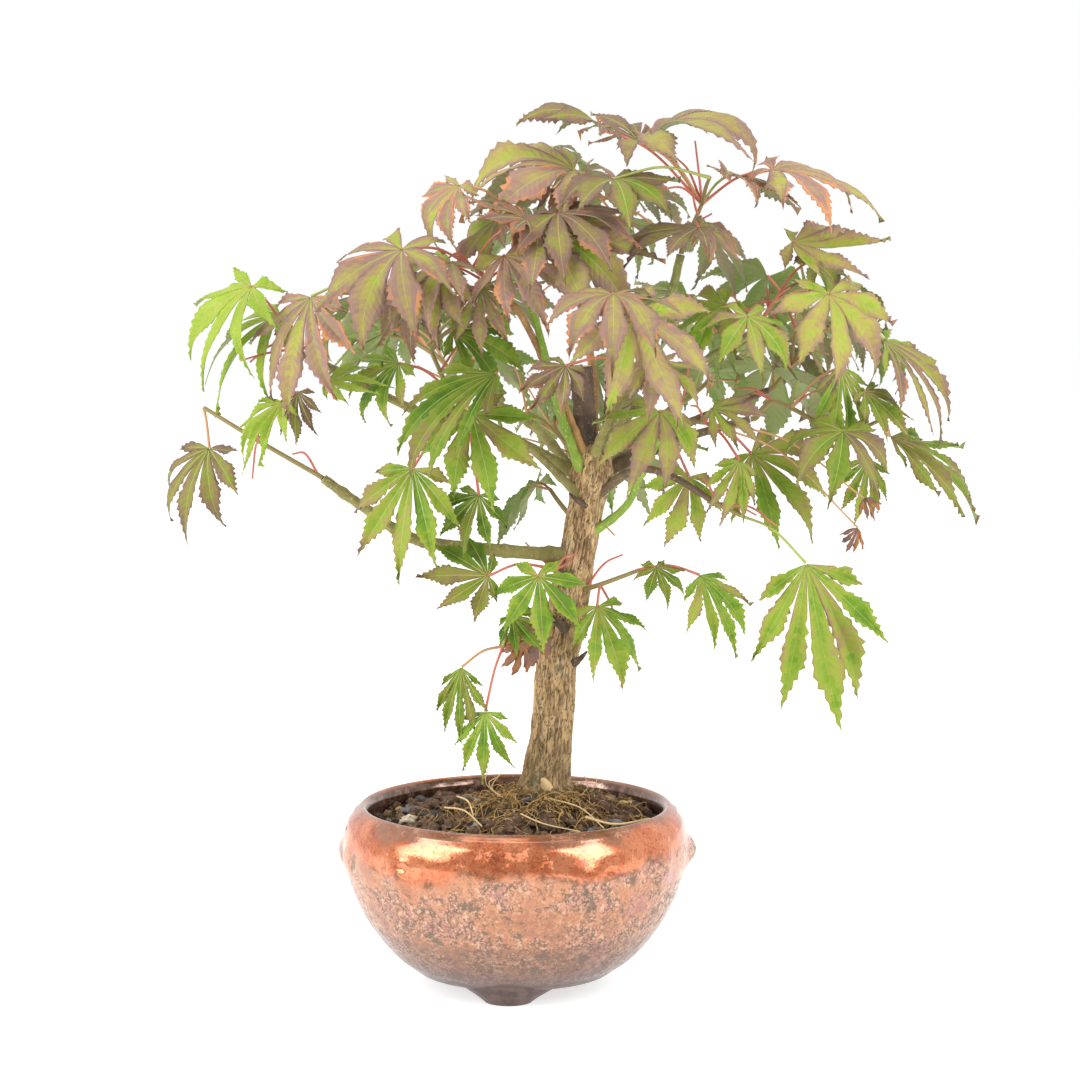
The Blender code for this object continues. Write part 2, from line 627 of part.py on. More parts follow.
def make_soil(parts):
    """The soil fills the pot's hollow, clear of its wall, up to the mound."""
    top = [(radius, SOIL_EDGE) for radius in reversed(SOIL_RINGS)]
    wall = [(max(radius - SOIL_GAP, 0), z + SOIL_GAP) for radius, z in reversed(INNER_WALL)]
    soil = turned_object("soil", top + wall, SOIL_SEGMENTS, parts)
    for vert in soil.data.vertices:
        if vert.co.z > (SOIL_EDGE - GAP) * MM:
            vert.co.z = soil_height(vert.co.x / MM, vert.co.y / MM) * MM


def make_limbs(parts, helpers):
    """The boughs, each cut clear of the trunk and of the limbs before it."""
    before = []
    for name in LIMBS:
        limb = solid_object(name, limb_shape(name), parts)
        if name not in TRUNK_TOP_STUBS:
            boolean(limb, "DIFFERENCE", [trunk_shape(GAP)], helpers)
        mine = tree_of(limb_shape(name, GAP))
        for other in before:
            if mine.overlap(tree_of(limb_shape(other, GAP))):
                boolean(limb, "DIFFERENCE", [limb_shape(other, GAP)], helpers)
        before.append(name)


def make_masses(parts, helpers):
    """The masses, each fused from its stem, twigs and leaves, in the order that they grow in."""
    taken = [tree_of(trunk_shape()), *(tree_of(limb_shape(name)) for name in LIMBS)]
    for name, mass in MASSES.items():
        stem, twigs, leaves = grow(name, taken)
        stem_shape = sweep(stem, tapered(len(stem), STEM_RADIUS, TWIG_RADIUS), STEM_SIDES)
        shapes = [sweep(twig, [TWIG_RADIUS] * 2, TWIG_SIDES) for twig in twigs]
        for leaf in leaves:
            shapes += [petiole_shape(leaf), blade_shape(leaf)]
        taken.append(tree_of(stem_shape, *shapes))
        made = solid_object(name, stem_shape, parts)
        boolean(made, "UNION", shapes, helpers)
        if mass.limb == "trunk":
            boolean(made, "DIFFERENCE", [trunk_shape(GAP)], helpers)


def finish_of(node):
    if node in MASSES:
        return "leaf_bronze" if node in BRONZE_MASSES else "leaf_green"
    if node in LIMBS:
        return "green_wood" if node in GREEN_LIMBS else "bark"
    return {"pot": "copper_glaze", "soil": "soil", "trunk": "bark"}[node]


def set_over_origin(parts):
    """One empty carries every solid to where the middle of their box is over the origin."""
    corners = [vert.co for made in parts.objects for vert in made.data.vertices]
    low = Vector(min(corner[axis] for corner in corners) for axis in range(3))
    high = Vector(max(corner[axis] for corner in corners) for axis in range(3))
    carrier = bpy.data.objects.new("plant", None)
    carrier.location = (-(low.x + high.x) / 2, -(low.y + high.y) / 2, -low.z)
    for made in parts.objects:
        made.parent = carrier
    parts.objects.link(carrier)
    print("the pot's axis is at", tuple(round(value / MM, 3) for value in carrier.location))


def main():
    clear_scene()
    scene = bpy.context.scene
    parts = bpy.data.collections.new("bonsai_maple")
    helpers = bpy.data.collections.new("helpers")
    helpers.hide_render = True
    for collection in (parts, helpers):
        scene.collection.children.link(collection)
    make_pot(parts, helpers)
    make_soil(parts)
    solid_object("trunk", trunk_shape(), parts)
    make_limbs(parts, helpers)
    make_masses(parts, helpers)

    for made in parts.objects:
        made.data.materials.append(finish_named(finish_of(made.name)))
    set_over_origin(parts)
    scene.collection.children.unlink(helpers)


main()
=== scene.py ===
"""Bonsai maple in a copper-glazed bowl pot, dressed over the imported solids.

Sizes are millimetres in the pot's own frame, as in the plant's source: the pot's axis is x = y = 0,
its feet stand on z = 0, +x runs to the right and -y to the front. on_floor() carries a point of it
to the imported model's frame, in metres.
"""

import math
import random
from typing import NamedTuple

import bmesh
import bpy
from mathutils import Matrix, Vector, noise
from mathutils.bvhtree import BVHTree


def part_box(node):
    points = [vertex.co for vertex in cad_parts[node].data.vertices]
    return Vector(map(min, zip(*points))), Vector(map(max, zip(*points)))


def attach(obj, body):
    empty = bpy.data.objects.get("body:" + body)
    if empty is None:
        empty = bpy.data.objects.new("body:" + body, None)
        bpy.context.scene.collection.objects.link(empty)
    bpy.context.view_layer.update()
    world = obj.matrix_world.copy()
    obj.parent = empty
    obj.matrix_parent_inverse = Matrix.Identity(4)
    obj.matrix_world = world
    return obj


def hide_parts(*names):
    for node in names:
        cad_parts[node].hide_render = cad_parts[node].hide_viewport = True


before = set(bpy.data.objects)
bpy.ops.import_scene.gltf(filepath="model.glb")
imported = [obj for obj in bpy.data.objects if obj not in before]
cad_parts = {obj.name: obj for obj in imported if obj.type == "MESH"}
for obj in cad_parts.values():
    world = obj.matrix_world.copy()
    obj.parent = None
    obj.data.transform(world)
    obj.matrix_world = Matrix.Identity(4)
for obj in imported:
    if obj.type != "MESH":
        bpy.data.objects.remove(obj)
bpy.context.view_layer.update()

MM = 0.001
GAP = 0.3  # clearance between two solids that meet

SOIL_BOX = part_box("soil")
POT_AXIS = Vector(((SOIL_BOX[0][0] + SOIL_BOX[1][0]) / 2, (SOIL_BOX[0][1] + SOIL_BOX[1][1]) / 2, 0))


def on_floor(point):
    return point * MM + POT_AXIS


# ---------------------------------------------------------------- the plant, as its source has it

# Pot
POT_HEIGHT = 63.0
BASE_HEIGHT = 5.5
POT_PROFILE = (  # radius and height: inner floor, inner wall, lip, then down the outer side
    (0, 10), (26, 11.5), (40, 19), (48.5, 31), (51.5, 44), (51, 54), (50.4, 60),
    (52.6, POT_HEIGHT), (55.6, 61.2), (58.2, 57.4), (59.5, 52), (59.6, 47),
    (58.6, 41.5), (55.6, 31.5), (50.2, 21.5), (42.5, 12), (34, BASE_HEIGHT), (0, BASE_HEIGHT),
)
LIP_MIDDLE = 53.0  # the outer wall is further out than this
BOSSES = 11  # soft pinches round the shoulder
BOSS_HEIGHT = 46.5
BOSS_SPREAD = 5.5
BOSS_DEPTH = 0.9
LUG_DEPTH = 2.4  # the two side pinches stand further out
LUG_WIDTH = 0.012  # as a share, across the cosine of the turn round the pot
FOOT_ANGLES = (-95, 25, 145)
FOOT_CIRCLE = 28.0

# Soil
SOIL_EDGE = 57.0
SOIL_TOP = 66.5
MOUND_RADIUS = 26.0
MOUND_PLATEAU = 1.2  # above 1, so that the mound is level under the trunk
LUMP_SPACING = 14.0
LUMP_HEIGHT = 1.1  # above and below the mound's own level
LUMP_STAGGER = 0.8  # how far neighbouring rows of lumps are out of line, in radians
LUMP_FREE = 12.0  # level this far from the trunk's middle
LUMP_FULL = 18.0

# Trunk: x, y, height and radius from the flat cut at the soil to the fork
TRUNK = (
    (9.2, 0.0, SOIL_TOP + GAP, 10.2), (10.2, 0.3, 72.0, 8.3), (12.6, 0.8, 90.0, 7.0),
    (13.8, 1.4, 108.0, 6.9), (16.2, 1.8, 122.0, 7.1), (19.9, 1.6, 141.0, 6.4),
    (24.0, 0.6, 165.0, 5.9), (26.0, 0.0, 178.0, 6.6), (26.6, 0.0, 186.0, 6.1),
)
TRUNK_SIDES = 12
ROOT_RIDGES = 5
RIDGE_DEPTH = 0.13
RIDGE_HEIGHT = 12.0

LIMB_SIDES = 6
STEM_SIDES = 4
TWIG_SIDES = 3
STEM_RADIUS = 0.95
TWIG_RADIUS = 0.75
PETIOLE_RADIUS = 0.5

# Every limb: radius at its foot and tip, and the way that it takes
LIMBS = {
    "leader_stub": (4.0, 3.8, ((24.0, 1, 186.3), (23.4, 1, 200), (22.5, 1, 214))),
    "dead_stub": (1.6, 1.1, ((31.0, 0, 186.3), (31.8, 0, 200), (32.2, 0, 213))),
    "bough_green": (2.3, 1.4, ((27, -1, 176), (37, -3, 200), (51, -4, 233), (56, -5, 252))),
    "bough_left_shoot": (1.7, 1.1, ((25, -2, 172), (15, -8, 200), (7, -10, 230), (2, -10, 241))),
    "bough_left_long": (2.0, 1.2, (
        (25, 1, 175), (-1, 2, 189), (-29, 1, 197), (-52, 0, 208), (-67, 0, 216))),
    "bough_left_up": (1.5, 1.0, ((24, -2, 168), (4, -12, 188), (-15, -15, 199))),
    "bough_brown": (1.5, 1.0, ((25, -2, 180), (15, -5, 205), (2, -12, 232), (-7, -13, 241))),
    "bough_low_left": (2.4, 1.6, (
        (21, 0, 149), (-8, -6, 152), (-34, -9, 156), (-50, -9, 166), (-65, -5, 176))),
    "bough_right_dark": (1.9, 1.2, ((26, 1, 176), (45, 1, 184), (59, 0, 190), (80, 0, 196))),
    "bough_right_low": (1.6, 1.0, ((25, -1, 168), (40, -7, 179), (52, -12, 178), (66, -15, 170))),
    "bough_right_up": (1.7, 1.1, ((26, 2, 182), (42, 6, 200), (62, 5, 214), (78, 2, 224))),
    "bough_green_low": (1.5, 1.0, ((22, 0, 154), (37, -5, 166), (43, -8, 178), (49, -8, 190))),
    "bough_front": (1.6, 1.0, ((26, -1, 181), (30, -14, 193), (35, -24, 204), (40, -30, 214))),
    "bough_back_left": (2.0, 1.1, ((25, 1, 170), (8, 26, 190), (-18, 48, 204))),
    "bough_back_right": (2.0, 1.1, ((26, 1, 170), (42, 28, 188), (62, 52, 200))),
    "bough_back_high": (1.9, 1.1, ((26, 2, 180), (27, 22, 208), (22, 38, 238))),
    "bough_back_far": (1.8, 1.1, ((26, 2, 175), (52, 14, 190), (88, 28, 204))),
    "bough_back_low": (1.6, 1.0, ((23, 1, 158), (24, 26, 170), (20, 46, 178))),
}
SPAN_STEPS = 3  # rings between two points of a limb's way

# Leaf blade: each lobe's angle off the middle one, and its length as a share of the blade
LOBES = ((0, 1.0), (36, 0.88), (76, 0.66), (122, 0.36))
LOBE_HALF_WIDTH = 0.105
LOBE_WIDEST = 0.56
SINUS = 0.31
NOTCH = 0.05
HEART = 0.03  # where the blade is thickest: near its foot, so that no lobe hides another
FOLD = 0.28
ARCH = 0.25  # how steeply a lobe first rises, as a share of its bend
OPEN_SPREAD = 0.85  # a leaf folded closer than this has narrower lobes
BLADE_THICKNESS = 0.9
BLADE_LENGTH = (25.0, 41.0)
BLADE_BEND = (0.4, 1.3)
BLADE_SPREAD = (0.65, 1.0)
PETIOLE_ROOT = 0.55  # how far a petiole runs on inside its blade, towards its heart
PETIOLE_ARCH = 0.12
GOLDEN_ANGLE = math.radians(137.5)

# How the masses fill: shares are of a mass's reach
TWIG_RISE = (0.1, 0.6)
TWIG_LENGTH = (0.3, 0.5)
TWIG_LOOK = 0.4  # how much a twig turns to where the mass looks
PETIOLE_RISE = (-0.3, 0.7)
PETIOLE_LENGTH = (0.25, 0.63)
PETIOLE_LOOK = 0.7
LEAF_DROOP = (0.3, 1.1)
LEAF_OUTWARD = 0.4  # how much a leaf's face turns outwards
TIP_REACH = 1.3  # how far a leaf's tip may reach
TRIES = 40
SLIDE = 3.0  # a marked leaf that isn't clear moves by this to the front and back in turn
SLIDES = 19


class Mass(NamedTuple):
    """One mass of foliage: what it grows from, its stem's way, where its leaves look, how many
    further leaves it has and how far they reach, and the marked leaves that shape its outline. Each
    of these has its blade's foot and tip (x, y, z), its bend in radians and its lobes' spread."""

    limb: str
    way: tuple
    look: tuple
    more: int
    reach: float
    leaves: tuple = ()


MASSES = {
    "leaves_top": Mass("bough_green", ((60, -5, 262), (63, -5, 269)),
        (0.0, -0.2, 1.0), 2, 42, (
        (46, -5, 289, 89, -14, 281, 2.2, 0.9), (42, 6, 290, 26, 26, 298, 0.9, 0.8),
        (29, 0, 294, -1, -10, 298, 1.2, 0.9), (33, -18, 277, 38, -46, 262, 0.9, 1.0),
        (61, -20, 261, 33, -34, 252, 0.4, 0.9), (87, 0, 280, 124, -8, 263, 1.0, 0.9),
        (62, -16, 262, 76, -24, 250, 0.5, 0.8))),
    "leaves_crown_left": Mass("bough_left_shoot", ((6, -12, 250), (9, -15, 258)),
        (-0.1, -0.5, 0.9), 3, 36, (
        (20, -10, 280, -24, -22, 267, 1.3, 0.8), (4, -20, 264, -18, -27, 272, 0.3, 0.8),
        (8, -30, 262, 46, -50, 236, 0.4, 0.7), (-11, -18, 241, -12, -27, 219, 0.4, 0.7))),
    "leaves_drape": Mass("bough_brown", ((-10, -14, 245), (-14, -15, 248)),
        (-0.3, -0.6, 0.8), 2, 40, (
        (-37, -20, 254, -54, -36, 221, 1.0, 1.0), (-68, -16, 238, -77, -26, 196, 0.6, 0.65),
        (-24, -20, 246, -28, -32, 222, 0.6, 0.7), (-30, -2, 245, -36, -8, 214, 0.8, 0.7))),
    "leaves_left_mid": Mass("bough_left_up", ((-22, -15, 207), (-28, -15, 220)),
        (-0.2, -0.9, 0.5), 2, 34, (
        (-14, -28, 200, -5, -38, 168, 0.5, 0.9), (-34, -20, 181, -40, -30, 143, 0.3, 0.65),
        (-6, -24, 213, -43, -34, 178, 1.3, 0.3), (-12, -20, 172, -19, -26, 152, 0.3, 0.8))),
    "leaves_far_left": Mass("bough_left_long", ((-71, 0, 218), (-75, 0, 220)),
        (-0.4, -0.5, 0.8), 0, 30, (
        (-89, 0, 241, -108, -8, 206, 0.9, 0.85), (-80, -6, 231, -101, -16, 196, 1.3, 0.8),
        (-64, -8, 209, -41, -14, 212, 0.2, 0.6), (-78, -14, 203, -93, -24, 180, 0.5, 0.6))),
    "leaves_low_left": Mass("bough_low_left", ((-87, -5, 189), (-106, 0, 200)),
        (-0.4, -0.7, 0.6), 0, 30, (
        (-104, -2, 186, -112, -12, 154, 1.1, 0.7), (-73, -14, 206, -74, -19, 188, 0.3, 0.7))),
    "leaves_trunk_left": Mass("trunk", ((16, 1, 121), (8, -8, 121), (-4, -14, 120)),
        (-0.3, -0.9, 0.4), 0, 24, (
        (-10, -18, 98, -10, -24, 74, 0.3, 0.6), (-18, -16, 113, -19, -20, 86, 0.3, 0.4),
        (-1, -18, 131, 9, -24, 119, 0.3, 0.8))),
    "leaves_trunk_front": Mass("trunk", ((19, 1, 138), (15, -9, 144), (11, -15, 147)),
        (0.0, -0.9, 0.4), 0, 24, (
        (8, -23, 145, 10, -33, 120, 0.3, 1.0), (-9, -22, 145, -34, -28, 146, 0.2, 0.9))),
    "leaves_trunk_right": Mass("trunk", ((19, 1, 136), (29, -6, 140), (42, -7, 145)),
        (0.3, -0.8, 0.5), 0, 24, (
        (28, -10, 133, 38, -20, 106, 0.3, 0.7), (48, -9, 146, 53, -18, 134, 0.3, 1.0),
        (63, -5, 143, 77, -12, 116, 0.6, 0.5))),
    "leaves_right_low": Mass("bough_right_low", ((72, -17, 167), (76, -19, 165)),
        (0.1, -0.9, 0.4), 0, 26, (
        (97, -30, 150, 106, -44, 95, 0.35, 0.5),)),
    "leaves_right_fold": Mass("bough_green_low", ((55, -10, 196), (64, -16, 196)),
        (0.2, -0.8, 0.5), 1, 34, (
        (75, -24, 184, 69, -32, 162, 0.3, 0.5), (80, -8, 185, 106, -14, 156, 0.5, 0.8),
        (59, -4, 177, 52, -8, 152, 0.4, 0.8), (66, -20, 201, 84, -30, 192, 0.5, 0.7))),
    "leaves_right": Mass("bough_right_dark", ((88, 0, 202), (101, 0, 196), (114, 0, 188)),
        (0.2, -0.5, 0.8), 2, 36, (
        (128, 0, 190, 164, -5, 168, 0.25, 0.4), (110, -6, 214, 114, -12, 180, 0.4, 0.45),
        (121, 4, 182, 116, 2, 158, 0.8, 0.5), (118, -2, 206, 134, -8, 190, 0.4, 0.7))),
    "leaves_right_upper": Mass("bough_right_up", ((84, 1, 230), (88, 0, 236)),
        (0.2, -0.5, 0.8), 2, 38, (
        (94, 0, 256, 126, -8, 258, -0.6, 0.8), (77, -28, 232, 80, -44, 211, 0.8, 1.0),
        (105, -15, 239, 109, -33, 207, 0.9, 0.9), (125, -2, 223, 151, -9, 189, 0.7, 0.4))),
    "leaves_front": Mass("bough_front", ((41, -36, 220), (40, -41, 226)),
        (0.0, -0.7, 0.7), 2, 34, (
        (38, -48, 234, 55, -60, 197, 0.5, 1.0), (17, -30, 216, 6, -40, 201, 0.4, 0.8))),
    "leaves_back_left": Mass("bough_back_left", ((-24, 53, 210), (-32, 58, 218)),
        (-0.3, 0.7, 0.7), 7, 46),
    "leaves_back_right": Mass("bough_back_right", ((70, 60, 206), (78, 66, 214)),
        (0.3, 0.7, 0.7), 7, 46),
    "leaves_back_high": Mass("bough_back_high", ((20, 44, 248), (18, 48, 258)),
        (0.0, 0.4, 0.9), 8, 48),
    "leaves_back_far": Mass("bough_back_far", ((96, 31, 212), (103, 33, 222)),
        (0.5, 0.4, 0.8), 6, 43),
    "leaves_back_low": Mass("bough_back_low", ((18, 54, 182), (14, 60, 188)),
        (0.0, 0.8, 0.5), 5, 45),
    "leaves_trunk_back": Mass("trunk", ((23, 1, 158), (16, 14, 165), (12, 20, 170)),
        (-0.3, 0.3, 0.9), 1, 26, (
        (8, 22, 172, -8, 22, 150, 0.4, 0.9),)),
}

# ---------------------------------------------------------------- how the plant grows


def clamped(share):
    return min(1.0, max(0.0, share))


def bell(share):
    """1 at 0, and down to nothing on both sides of it."""
    return math.exp(-share ** 2)


def curve_point(a, b, c, d, t):
    """A Catmull-Rom curve's point between b and c."""
    return 0.5 * (2 * b + (c - a) * t + (2 * a - 5 * b + 4 * c - d) * t ** 2
                  + (3 * b - a - 3 * c + d) * t ** 3)


def smooth_way(points, count):
    """A Catmull-Rom curve through the points, with this many steps between two of them."""
    points = [Vector(point) for point in points]
    padded = [points[0] * 2 - points[1], *points, points[-1] * 2 - points[-2]]
    way = []
    for i in range(len(points) - 1):
        way += [curve_point(*padded[i:i + 4], step / count) for step in range(count)]
    return way + [points[-1]]


def arched(start, end, rise):
    """A way from start to end whose middle is lifted by the rise."""
    start, end = Vector(start), Vector(end)
    return [start, (start + end) / 2 + Vector((0, 0, rise)), end]


def tapered(count, start, end):
    return [start + (end - start) * i / (count - 1) for i in range(count)]


def tapered_way(way, start, end):
    return way, tapered(len(way), start, end)


def ring_faces(rings, sides):
    """The faces of a closed tube whose rings follow one another, with a flat face at each end."""
    last = (rings - 1) * sides
    faces = [tuple(range(sides - 1, -1, -1)), tuple(range(last, last + sides))]
    for ring in range(0, last, sides):
        for k in range(sides):
            a, b = ring + k, ring + (k + 1) % sides
            faces.append((a, b, b + sides, a + sides))
    return faces


def sweep(way, radii, sides):
    """A closed tube round a way, as (points, faces)."""
    points = []
    side = None
    for i, centre in enumerate(way):
        ahead = (way[min(i + 1, len(way) - 1)] - way[max(i - 1, 0)]).normalized()
        side = ahead.orthogonal() if side is None else side - ahead * side.dot(ahead)
        side.normalize()
        across = ahead.cross(side)
        for k in range(sides):
            turn = math.tau * k / sides
            points.append(centre + (side * math.cos(turn) + across * math.sin(turn)) * radii[i])
    return points, ring_faces(len(way), sides)


def limb_shape(name, extra=0.0):
    foot, tip, points = LIMBS[name]
    way = smooth_way(points, SPAN_STEPS)
    return sweep(way, tapered(len(way), foot + extra, tip + extra), LIMB_SIDES)


def trunk_shape(extra=0.0):
    """Level rings up the trunk, ridged at the root flare."""
    points = []
    foot = TRUNK[0][2]
    for x, y, z, radius in TRUNK:
        ridge = RIDGE_DEPTH * math.exp(-(z - foot) / RIDGE_HEIGHT)
        for k in range(TRUNK_SIDES):
            turn = math.tau * k / TRUNK_SIDES
            reach = radius * (1 + ridge * math.cos(ROOT_RIDGES * turn)) + extra
            points.append(Vector((x + reach * math.cos(turn), y + reach * math.sin(turn), z)))
    return points, ring_faces(len(TRUNK), TRUNK_SIDES)


class Leaf(NamedTuple):
    root: Vector
    foot: Vector
    ahead: Vector
    up: Vector
    length: float
    bend: float
    spread: float


def leaf_towards(root, foot, tip, look, bend, spread):
    """A leaf whose middle lobe bends over from foot to tip, and whose upper face turns to look."""
    chord = (tip - foot).normalized()
    face = (look - chord * look.dot(chord)).normalized()
    half = bend / 2
    tilt = half - ARCH * bend
    ahead = chord * math.cos(tilt) + face * math.sin(tilt)
    up = face * math.cos(tilt) - chord * math.sin(tilt)
    return Leaf(root, foot, ahead, up, (tip - foot).length * half / math.sin(half), bend, spread)


def blade_outline(length, spread):
    """The blade's edge in its own plane, clockwise from the notch at its foot."""
    lobes = [(-angle, share) for angle, share in reversed(LOBES[1:])] + list(LOBES)
    outline = [(0.0, -NOTCH * length, 0.0)]
    for i, (angle, share) in enumerate(lobes):
        turn = math.radians(angle * spread)
        along = Vector((math.sin(turn), math.cos(turn)))
        across = Vector((along.y, -along.x))
        size = share * length
        if i:
            between = math.radians((angle + lobes[i - 1][0]) / 2 * spread)
            depth = SINUS * length * (share + lobes[i - 1][1]) / 2
            outline.append((depth * math.sin(between), depth * math.cos(between), 0.0))
        basal = abs(angle) == LOBES[-1][0]
        open_share = min(1, spread / OPEN_SPREAD)
        half = 0 if basal else LOBE_HALF_WIDTH * length * math.sqrt(share) * open_share
        middle = along * size * LOBE_WIDEST
        if not basal:
            left = middle - across * half
            outline.append((left.x, left.y, half * FOLD))
        outline.append((along.x * size, along.y * size, 0.0))
        if not basal:
            right = middle + across * half
            outline.append((right.x, right.y, half * FOLD))
    return outline


def bent(leaf, x, y, z):
    """A point of the flat blade, carried along the arc that every lobe rises and bends down on."""
    away = math.hypot(x, y)
    if away < 1e-6:
        return leaf.foot + leaf.up * z
    radius = leaf.length / leaf.bend
    start = ARCH * leaf.bend
    slope = start - leaf.bend * away / leaf.length
    level = radius * (math.sin(start) - math.sin(slope)) - z * math.sin(slope)
    height = radius * (math.cos(slope) - math.cos(start)) + z * math.cos(slope)
    side = leaf.ahead.cross(leaf.up)
    return leaf.foot + (side * x + leaf.ahead * y) * (level / away) + leaf.up * height


def blade_shape(leaf, lift=0.0):
    """The thin blade as (points, faces): a knife edge all round, thickest where its ribs meet."""
    points = [bent(leaf, x, y, z + lift) for x, y, z in blade_outline(leaf.length, leaf.spread)]
    count = len(points)
    for half in (BLADE_THICKNESS / 2, -BLADE_THICKNESS / 2):
        points.append(bent(leaf, 0.0, HEART * leaf.length, half + lift))
    faces = []
    for i in range(count):
        after = (i + 1) % count
        faces.append((count, after, i))
        faces.append((count + 1, i, after))
    return points, faces


def petiole_way(leaf):
    middle = arched(leaf.root, leaf.foot, PETIOLE_ARCH * (leaf.foot - leaf.root).length)[1]
    toe, heart = (bent(leaf, 0.0, share * leaf.length, 0.0) for share in (-NOTCH, HEART))
    return [leaf.root, middle, toe.lerp(heart, PETIOLE_ROOT)]


def petiole_shape(leaf, extra=0.0):
    return sweep(petiole_way(leaf), [PETIOLE_RADIUS + extra] * 3, TWIG_SIDES)


def tree_of(*shapes):
    points, faces = [], []
    for shape_points, shape_faces in shapes:
        faces += [tuple(i + len(points) for i in face) for face in shape_faces]
        points += shape_points
    return BVHTree.FromPolygons(points, faces)


def leaf_is_clear(leaf, taken, own):
    """Whether a leaf with a little room round it touches nothing that is there already."""
    blades = [blade_shape(leaf, lift) for lift in (-2 * GAP, 0, 2 * GAP)]
    whole = tree_of(*blades, petiole_shape(leaf, 2 * GAP))
    if any(whole.overlap(other) for other in taken):
        return False
    blade = tree_of(*blades)
    return not any(blade.overlap(other) for other in own)


def stem_way(mass):
    """The mass's stem, from just past its limb's tip, or from inside the trunk."""
    if mass.limb == "trunk":
        return smooth_way(mass.way, 2)
    limb = smooth_way(LIMBS[mass.limb][2], SPAN_STEPS)
    ahead = (limb[-1] - limb[-2]).normalized()
    tip = limb[-1]
    return [tip + ahead * GAP, *smooth_way((tip + ahead * (GAP + 2), *mass.way), 2)]


def twigs_of(mass, stem, draw):
    """Side twigs up the stem, each turned on from the last by the golden angle."""
    twigs = []
    turn = draw.uniform(0, math.tau)
    for i in range(mass.more // 2):
        place = stem[-1 - i % (len(stem) - 1)]
        turn += GOLDEN_ANGLE
        heading = Vector((math.cos(turn), math.sin(turn), draw.uniform(*TWIG_RISE))).normalized()
        heading = (heading + Vector(mass.look) * TWIG_LOOK).normalized()
        twigs.append([place, place + heading * draw.uniform(*TWIG_LENGTH) * mass.reach])
    return twigs


def marked_leaf(mass, nodes, row, taken, own):
    """A leaf of the outline: it is slid a little to the front or back until it is clear."""
    foot, tip = Vector(row[:3]), Vector(row[3:6])
    look = Vector(mass.look)
    root = min(nodes, key=lambda node: (node - foot).length)
    for step in range(SLIDES):
        slide = Vector((0, (step + 1) // 2 * SLIDE * (-1) ** step, 0))
        leaf = leaf_towards(root, foot + slide, tip + slide, look, *row[6:])
        if leaf_is_clear(leaf, taken, own):
            return leaf
    return None


def leaf_by_rule(mass, root, draw, rises, petioles, lengths, spreads):
    """A leaf that leaves its node outwards and droops, and the place of its tip."""
    turn = draw.uniform(0, math.tau)
    heading = Vector((math.cos(turn), math.sin(turn), draw.uniform(*rises)))
    heading = (heading + Vector(mass.look) * PETIOLE_LOOK).normalized()
    foot = root + heading * draw.uniform(*petioles) * mass.reach
    level = Vector((heading.x, heading.y, 0)).normalized()
    droop, length = draw.uniform(*LEAF_DROOP), draw.uniform(*lengths)
    tip = foot + (level * math.cos(droop) - Vector((0, 0, math.sin(droop)))) * length
    look = Vector(mass.look) + level * LEAF_OUTWARD
    bend, spread = draw.uniform(*BLADE_BEND), draw.uniform(*spreads)
    return leaf_towards(root, foot, tip, look, bend, spread), tip


def further_leaf(mass, nodes, number, draw, taken, own):
    """A leaf by rule that stays in the mass's own space."""
    heart, root = nodes[0], nodes[number % len(nodes)]
    for _ in range(TRIES):
        leaf, tip = leaf_by_rule(
            mass, root, draw, PETIOLE_RISE, PETIOLE_LENGTH, BLADE_LENGTH, BLADE_SPREAD)
        near = (leaf.foot - heart).length <= mass.reach
        near = near and (tip - heart).length <= TIP_REACH * mass.reach
        if near and leaf_is_clear(leaf, taken, own):
            return leaf
    return None


def grow(name, taken):
    """The mass's stem, twigs and leaves; what would touch a neighbour is skipped."""
    mass = MASSES[name]
    draw = random.Random(name)
    stem = stem_way(mass)
    twigs = []
    for twig in twigs_of(mass, stem, draw):
        room = tree_of(sweep(twig, [TWIG_RADIUS + 2 * GAP] * 2, TWIG_SIDES))
        if not any(room.overlap(other) for other in taken):
            twigs.append(twig)
    nodes = [stem[-1], stem[len(stem) // 2], *(twig[-1] for twig in twigs)]
    if mass.limb != "trunk":
        nodes.append(stem[1])
    own, leaves = [], []
    for number in range(len(mass.leaves) + mass.more):
        if number < len(mass.leaves):
            leaf = marked_leaf(mass, nodes, mass.leaves[number], taken, own)
        else:
            leaf = further_leaf(mass, nodes, number, draw, taken, own)
        if leaf:
            leaves.append(leaf)
            own.append(tree_of(blade_shape(leaf)))
    return stem, twigs, leaves


def shoulder_bulge(point):
    """How far the pinches push the pot's outer wall out at this point, in millimetres."""
    radius = point.xy.length
    if radius < LIP_MIDDLE:
        return 0.0
    turn = math.atan2(point.y, point.x)
    boss = max(0.0, math.cos(BOSSES * turn)) ** 2
    side = bell((abs(math.cos(turn)) - 1) / LUG_WIDTH)
    near = bell((point.z - BOSS_HEIGHT) / BOSS_SPREAD)
    return (BOSS_DEPTH * boss + (LUG_DEPTH - BOSS_DEPTH) * side) * near


def soil_height(x, y):
    """The lumpy mound round the trunk's foot, from the level that meets the wall."""
    away = math.hypot(x - TRUNK[0][0], y - TRUNK[0][1])
    rise = bell(away / MOUND_RADIUS) * MOUND_PLATEAU
    mound = SOIL_EDGE + (SOIL_TOP - SOIL_EDGE) * min(1.0, rise)
    share = clamped((away - LUMP_FREE) / (LUMP_FULL - LUMP_FREE))
    turn_x, turn_y = math.tau / LUMP_SPACING * x, math.tau / LUMP_SPACING * y
    along = math.sin(turn_x + LUMP_STAGGER * math.sin(turn_y / 2))
    across = math.sin(turn_y + LUMP_STAGGER * math.sin(turn_x / 2))
    return mound + LUMP_HEIGHT * share * (along * across)


# ---------------------------------------------------------------- pieces and finishes

